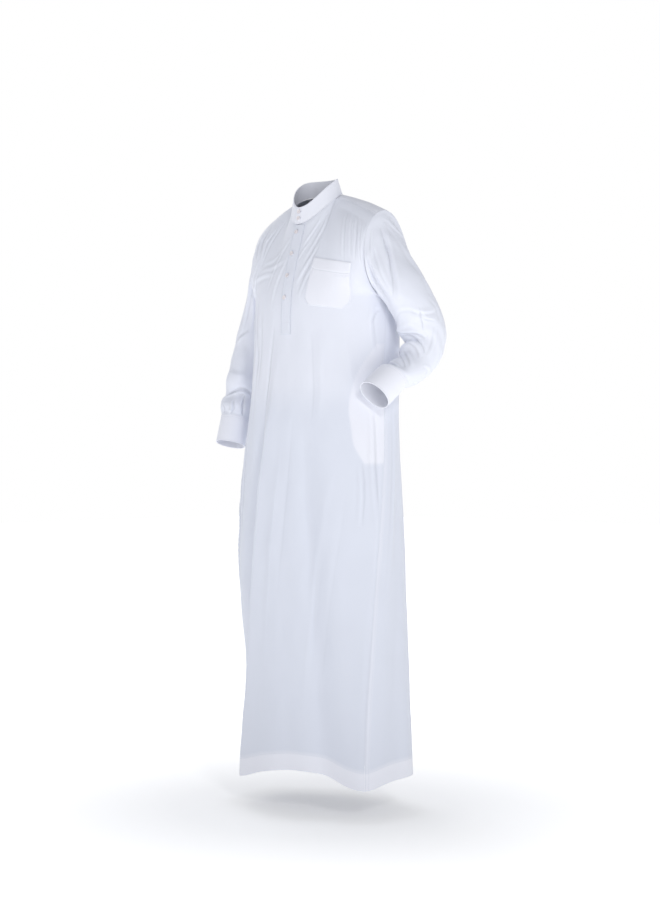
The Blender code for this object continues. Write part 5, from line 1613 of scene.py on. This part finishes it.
def make_first_button():
    """The button, its back at height 0."""
    bpy.ops.object.select_all(action="DESELECT")
    bpy.ops.mesh.primitive_cylinder_add(vertices=40, radius=BUTTON_RADIUS, depth=BUTTON_THICK,
                                        location=(0, 0, BUTTON_THICK / 2))
    button = bpy.context.object
    bpy.ops.object.transform_apply(location=True)
    bpy.ops.object.mode_set(mode="EDIT")
    mesh = bmesh.from_edit_mesh(button.data)
    for face in mesh.faces:
        face.select_set(face.normal.z > 0.9)
    bmesh.update_edit_mesh(button.data)
    bpy.ops.mesh.inset(thickness=BUTTON_RADIUS * 0.24)
    bpy.ops.transform.translate(value=(0, 0, -BUTTON_THICK * 0.28))
    bpy.ops.mesh.inset(thickness=BUTTON_RADIUS * 0.12)
    bpy.ops.transform.translate(value=(0, 0, BUTTON_THICK * 0.06))
    bpy.ops.object.mode_set(mode="OBJECT")
    for x in (-HOLE_OFFSET, HOLE_OFFSET):
        for y in (-HOLE_OFFSET, HOLE_OFFSET):
            bpy.ops.mesh.primitive_cylinder_add(vertices=12, radius=HOLE_RADIUS, depth=0.01, location=(x, y, 0))
            drill = bpy.context.object
            cut = button.modifiers.new("hole", "BOOLEAN")
            cut.operation = "DIFFERENCE"
            cut.object = drill
            bpy.context.view_layer.objects.active = button
            bpy.ops.object.modifier_apply(modifier="hole")
            bpy.data.objects.remove(drill, do_unlink=True)
    rim = button.modifiers.new("rim", "BEVEL")
    rim.width = 0.0003
    rim.segments = 2
    rim.angle_limit = math.radians(35)
    bpy.ops.object.modifier_apply(modifier="rim")
    button.data.shade_smooth()
    button.data.set_sharp_from_angle(angle=math.radians(40))
    return button


PEARL = pearl_material()
first_button = make_first_button()

# %% Six buttons and their buttonholes
COLLAR_BUTTON_HEIGHTS = (0.74, 0.34)
PLACKET_BUTTON_Z = (-0.1065, -0.1625, -0.219, -0.275)
HOLE_LENGTH = 0.0135
HOLE_BAR = 0.0011


def frame_at(surface, u, v, gap):
    """Place, normal and upward line of a spot on a surface."""
    place = dressed(surface, u, v, gap)
    normal = surface_normal(surface.point, np.asarray(u, float), np.asarray(v, float), surface.flip)
    up = dressed(surface, u, v + 0.004, gap) - place
    up -= normal * up.dot(normal)
    return place, normal, up / np.linalg.norm(up)


def set_button(name, place, normal, up):
    """A copy of the button on a spot, with the thread through its holes."""
    side = np.cross(up, normal)
    turn = Matrix((side, up, normal)).transposed().to_4x4()
    mesh = first_button.data.copy()
    mesh.transform(Matrix.Translation(Vector(place)) @ turn)
    piece = bpy.data.objects.new(name + "_pearl", mesh)
    bpy.context.scene.collection.objects.link(piece)
    mesh.materials.clear()
    mesh.materials.append(PEARL)
    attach(piece, "root")
    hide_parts(name)
    sewing = Sewing()
    top = place + normal * (BUTTON_THICK * 0.80)
    for sign in (1, -1):
        along = (side + up * sign) / math.sqrt(2)
        sewing.bar(top, along, normal, 2.9 * HOLE_OFFSET, 0.00042)
    return sewing.make(name + "_thread", THREAD_WITH_PAINTED_SHADE, name)


def buttonhole(sewing, place, normal, along):
    """A worked buttonhole: two rows of close stitches and a bar at each end."""
    across = np.cross(along, normal)
    for side in (-1, 1):
        for step in np.arange(-HOLE_LENGTH / 2, HOLE_LENGTH / 2, 0.00055):
            middle = place + along * step + across * side * HOLE_BAR * 0.62 + normal * 0.0002
            sewing.bar(middle, across, normal, HOLE_BAR, 0.00028)
    for end in (-1, 1):
        for step in (0.0, 0.0004, 0.0008):
            middle = place + along * end * (HOLE_LENGTH / 2 + step) + normal * 0.00025
            sewing.bar(middle, across, normal, HOLE_BAR * 2.4, 0.00028)


hole_sewing = {"collar": Sewing(), "placket": Sewing()}
button_number = 0
for part in COLLAR_BUTTON_HEIGHTS:
    button_number += 1
    place, normal, up = frame_at(COLLAR, 0.0, part, 0.0)
    set_button(f"button_{button_number}", place + normal * 0.0006, normal, up)
    buttonhole(hole_sewing["collar"], place, normal, np.cross(up, normal))
for z in PLACKET_BUTTON_Z:
    button_number += 1
    share, level = front_place(0.0, z)
    place, normal, up = frame_at(FRONT, share, level, placket_gap)
    set_button(f"button_{button_number}", place + normal * 0.0005, normal, up)
    buttonhole(hole_sewing["placket"], place, normal, up)
for name, sewing in hole_sewing.items():
    sewing.make(f"{name}_buttonholes", THREAD_WITH_PAINTED_SHADE, name)
bpy.data.objects.remove(first_button, do_unlink=True)
print("buttons:", button_number)

# %% [markdown]
# ## The camera, the light and the floor
# The camera stands where the photograph's did, 4.6 m away and 44 degrees round from the front, level
# with the robe's middle. A white robe on white needs light from all round and a softer main light from
# one side, or it has no form.

# %% Camera
PHOTO_TURN = math.radians(44.0)
PHOTO_DISTANCE = 4.6
PHOTO_HEIGHT = -0.658
PHOTO_SIDE = 0.03328
PHOTO_PIXEL = 0.00256
IMAGE_HEIGHT = 900
SENSOR = 36.0

camera = bpy.data.objects.new("camera", bpy.data.cameras.new("camera"))
bpy.context.scene.collection.objects.link(camera)
toward = Vector((math.sin(PHOTO_TURN), -math.cos(PHOTO_TURN), 0.0))
to_right = Vector((math.cos(PHOTO_TURN), math.sin(PHOTO_TURN), 0.0))
camera.location = toward * PHOTO_DISTANCE + to_right * PHOTO_SIDE + Vector((0.0, 0.0, PHOTO_HEIGHT))
camera.rotation_euler = (math.radians(90), 0.0, PHOTO_TURN)
camera.data.sensor_width = SENSOR
camera.data.lens = SENSOR * PHOTO_DISTANCE / PHOTO_PIXEL / IMAGE_HEIGHT
bpy.context.scene.camera = camera

# %% Light
FLOOR_Z = -1.57
STUDIO_LIGHT = 0.485


def area_light(name, place, target, size, power):
    """A round soft light that looks at a target."""
    lamp = bpy.data.lights.new(name, "AREA")
    lamp.energy = power
    lamp.shape = "DISK"
    lamp.size = size
    lit = bpy.data.objects.new(name, lamp)
    bpy.context.scene.collection.objects.link(lit)
    lit.location = place
    lit.rotation_euler = (Vector(target) - Vector(place)).to_track_quat("-Z", "Y").to_euler()
    return lit


middle = Vector((0.0, 0.0, -0.8))
area_light("main light", middle + toward * 6.2 + to_right * 1.6 + Vector((0, 0, 2.8)), middle, 1.0, 80)
area_light("back light", middle - toward * 2.4 - to_right * 1.2 + Vector((0, 0, 2.0)), middle, 2.0, 14)
world = bpy.data.worlds.new("studio")
world.use_nodes = True
studio = world.node_tree.nodes["Background"]
studio.inputs["Color"].default_value = (0.93, 0.95, 1.0, 1.0)
studio.inputs["Strength"].default_value = STUDIO_LIGHT
seen = node(world.node_tree, "ShaderNodeBackground", Color=(1.0, 1.0, 1.0, 1.0), Strength=1.0)
rays = node(world.node_tree, "ShaderNodeLightPath")
either = node(world.node_tree, "ShaderNodeMixShader")
world.node_tree.links.new(rays.outputs["Is Camera Ray"], either.inputs["Fac"])
world.node_tree.links.new(studio.outputs["Background"], either.inputs[1])
world.node_tree.links.new(seen.outputs["Background"], either.inputs[2])
world.node_tree.links.new(either.outputs["Shader"], world.node_tree.nodes["World Output"].inputs["Surface"])
bpy.context.scene.world = world
bpy.context.scene.view_settings.view_transform = "Standard"

# %% Floor, which glows
bpy.ops.object.select_all(action="DESELECT")
bpy.ops.mesh.primitive_plane_add(size=30, location=(0, 0, FLOOR_Z))
floor = bpy.context.object
floor.name = "floor"
paper = bpy.data.materials.new("glowing floor paper")
paper.use_nodes = True
paper_shader = paper.node_tree.nodes["Principled BSDF"]
paper_shader.inputs["Base Color"].default_value = (0.93, 0.93, 0.93, 1)
paper_shader.inputs["Roughness"].default_value = 0.9
# The floor glows: painted light, weakest near the robe, where its shadow falls, and strongest further out, so that it
# reads white.
paper_shader.inputs["Emission Color"].default_value = (1, 1, 1, 1)
coordinates = node(paper.node_tree, "ShaderNodeTexCoord")
away = node(paper.node_tree, "ShaderNodeVectorMath", operation="LENGTH")
paper.node_tree.links.new(coordinates.outputs["Object"], away.inputs[0])
glow = node(paper.node_tree, "ShaderNodeMapRange")
for socket, value in (("From Min", 0.35), ("From Max", 1.6), ("To Min", 0.30), ("To Max", 0.9)):
    glow.inputs[socket].default_value = value
paper.node_tree.links.new(away.outputs["Value"], glow.inputs["Value"])
paper.node_tree.links.new(glow.outputs["Result"], paper_shader.inputs["Emission Strength"])
floor.data.materials.append(paper)
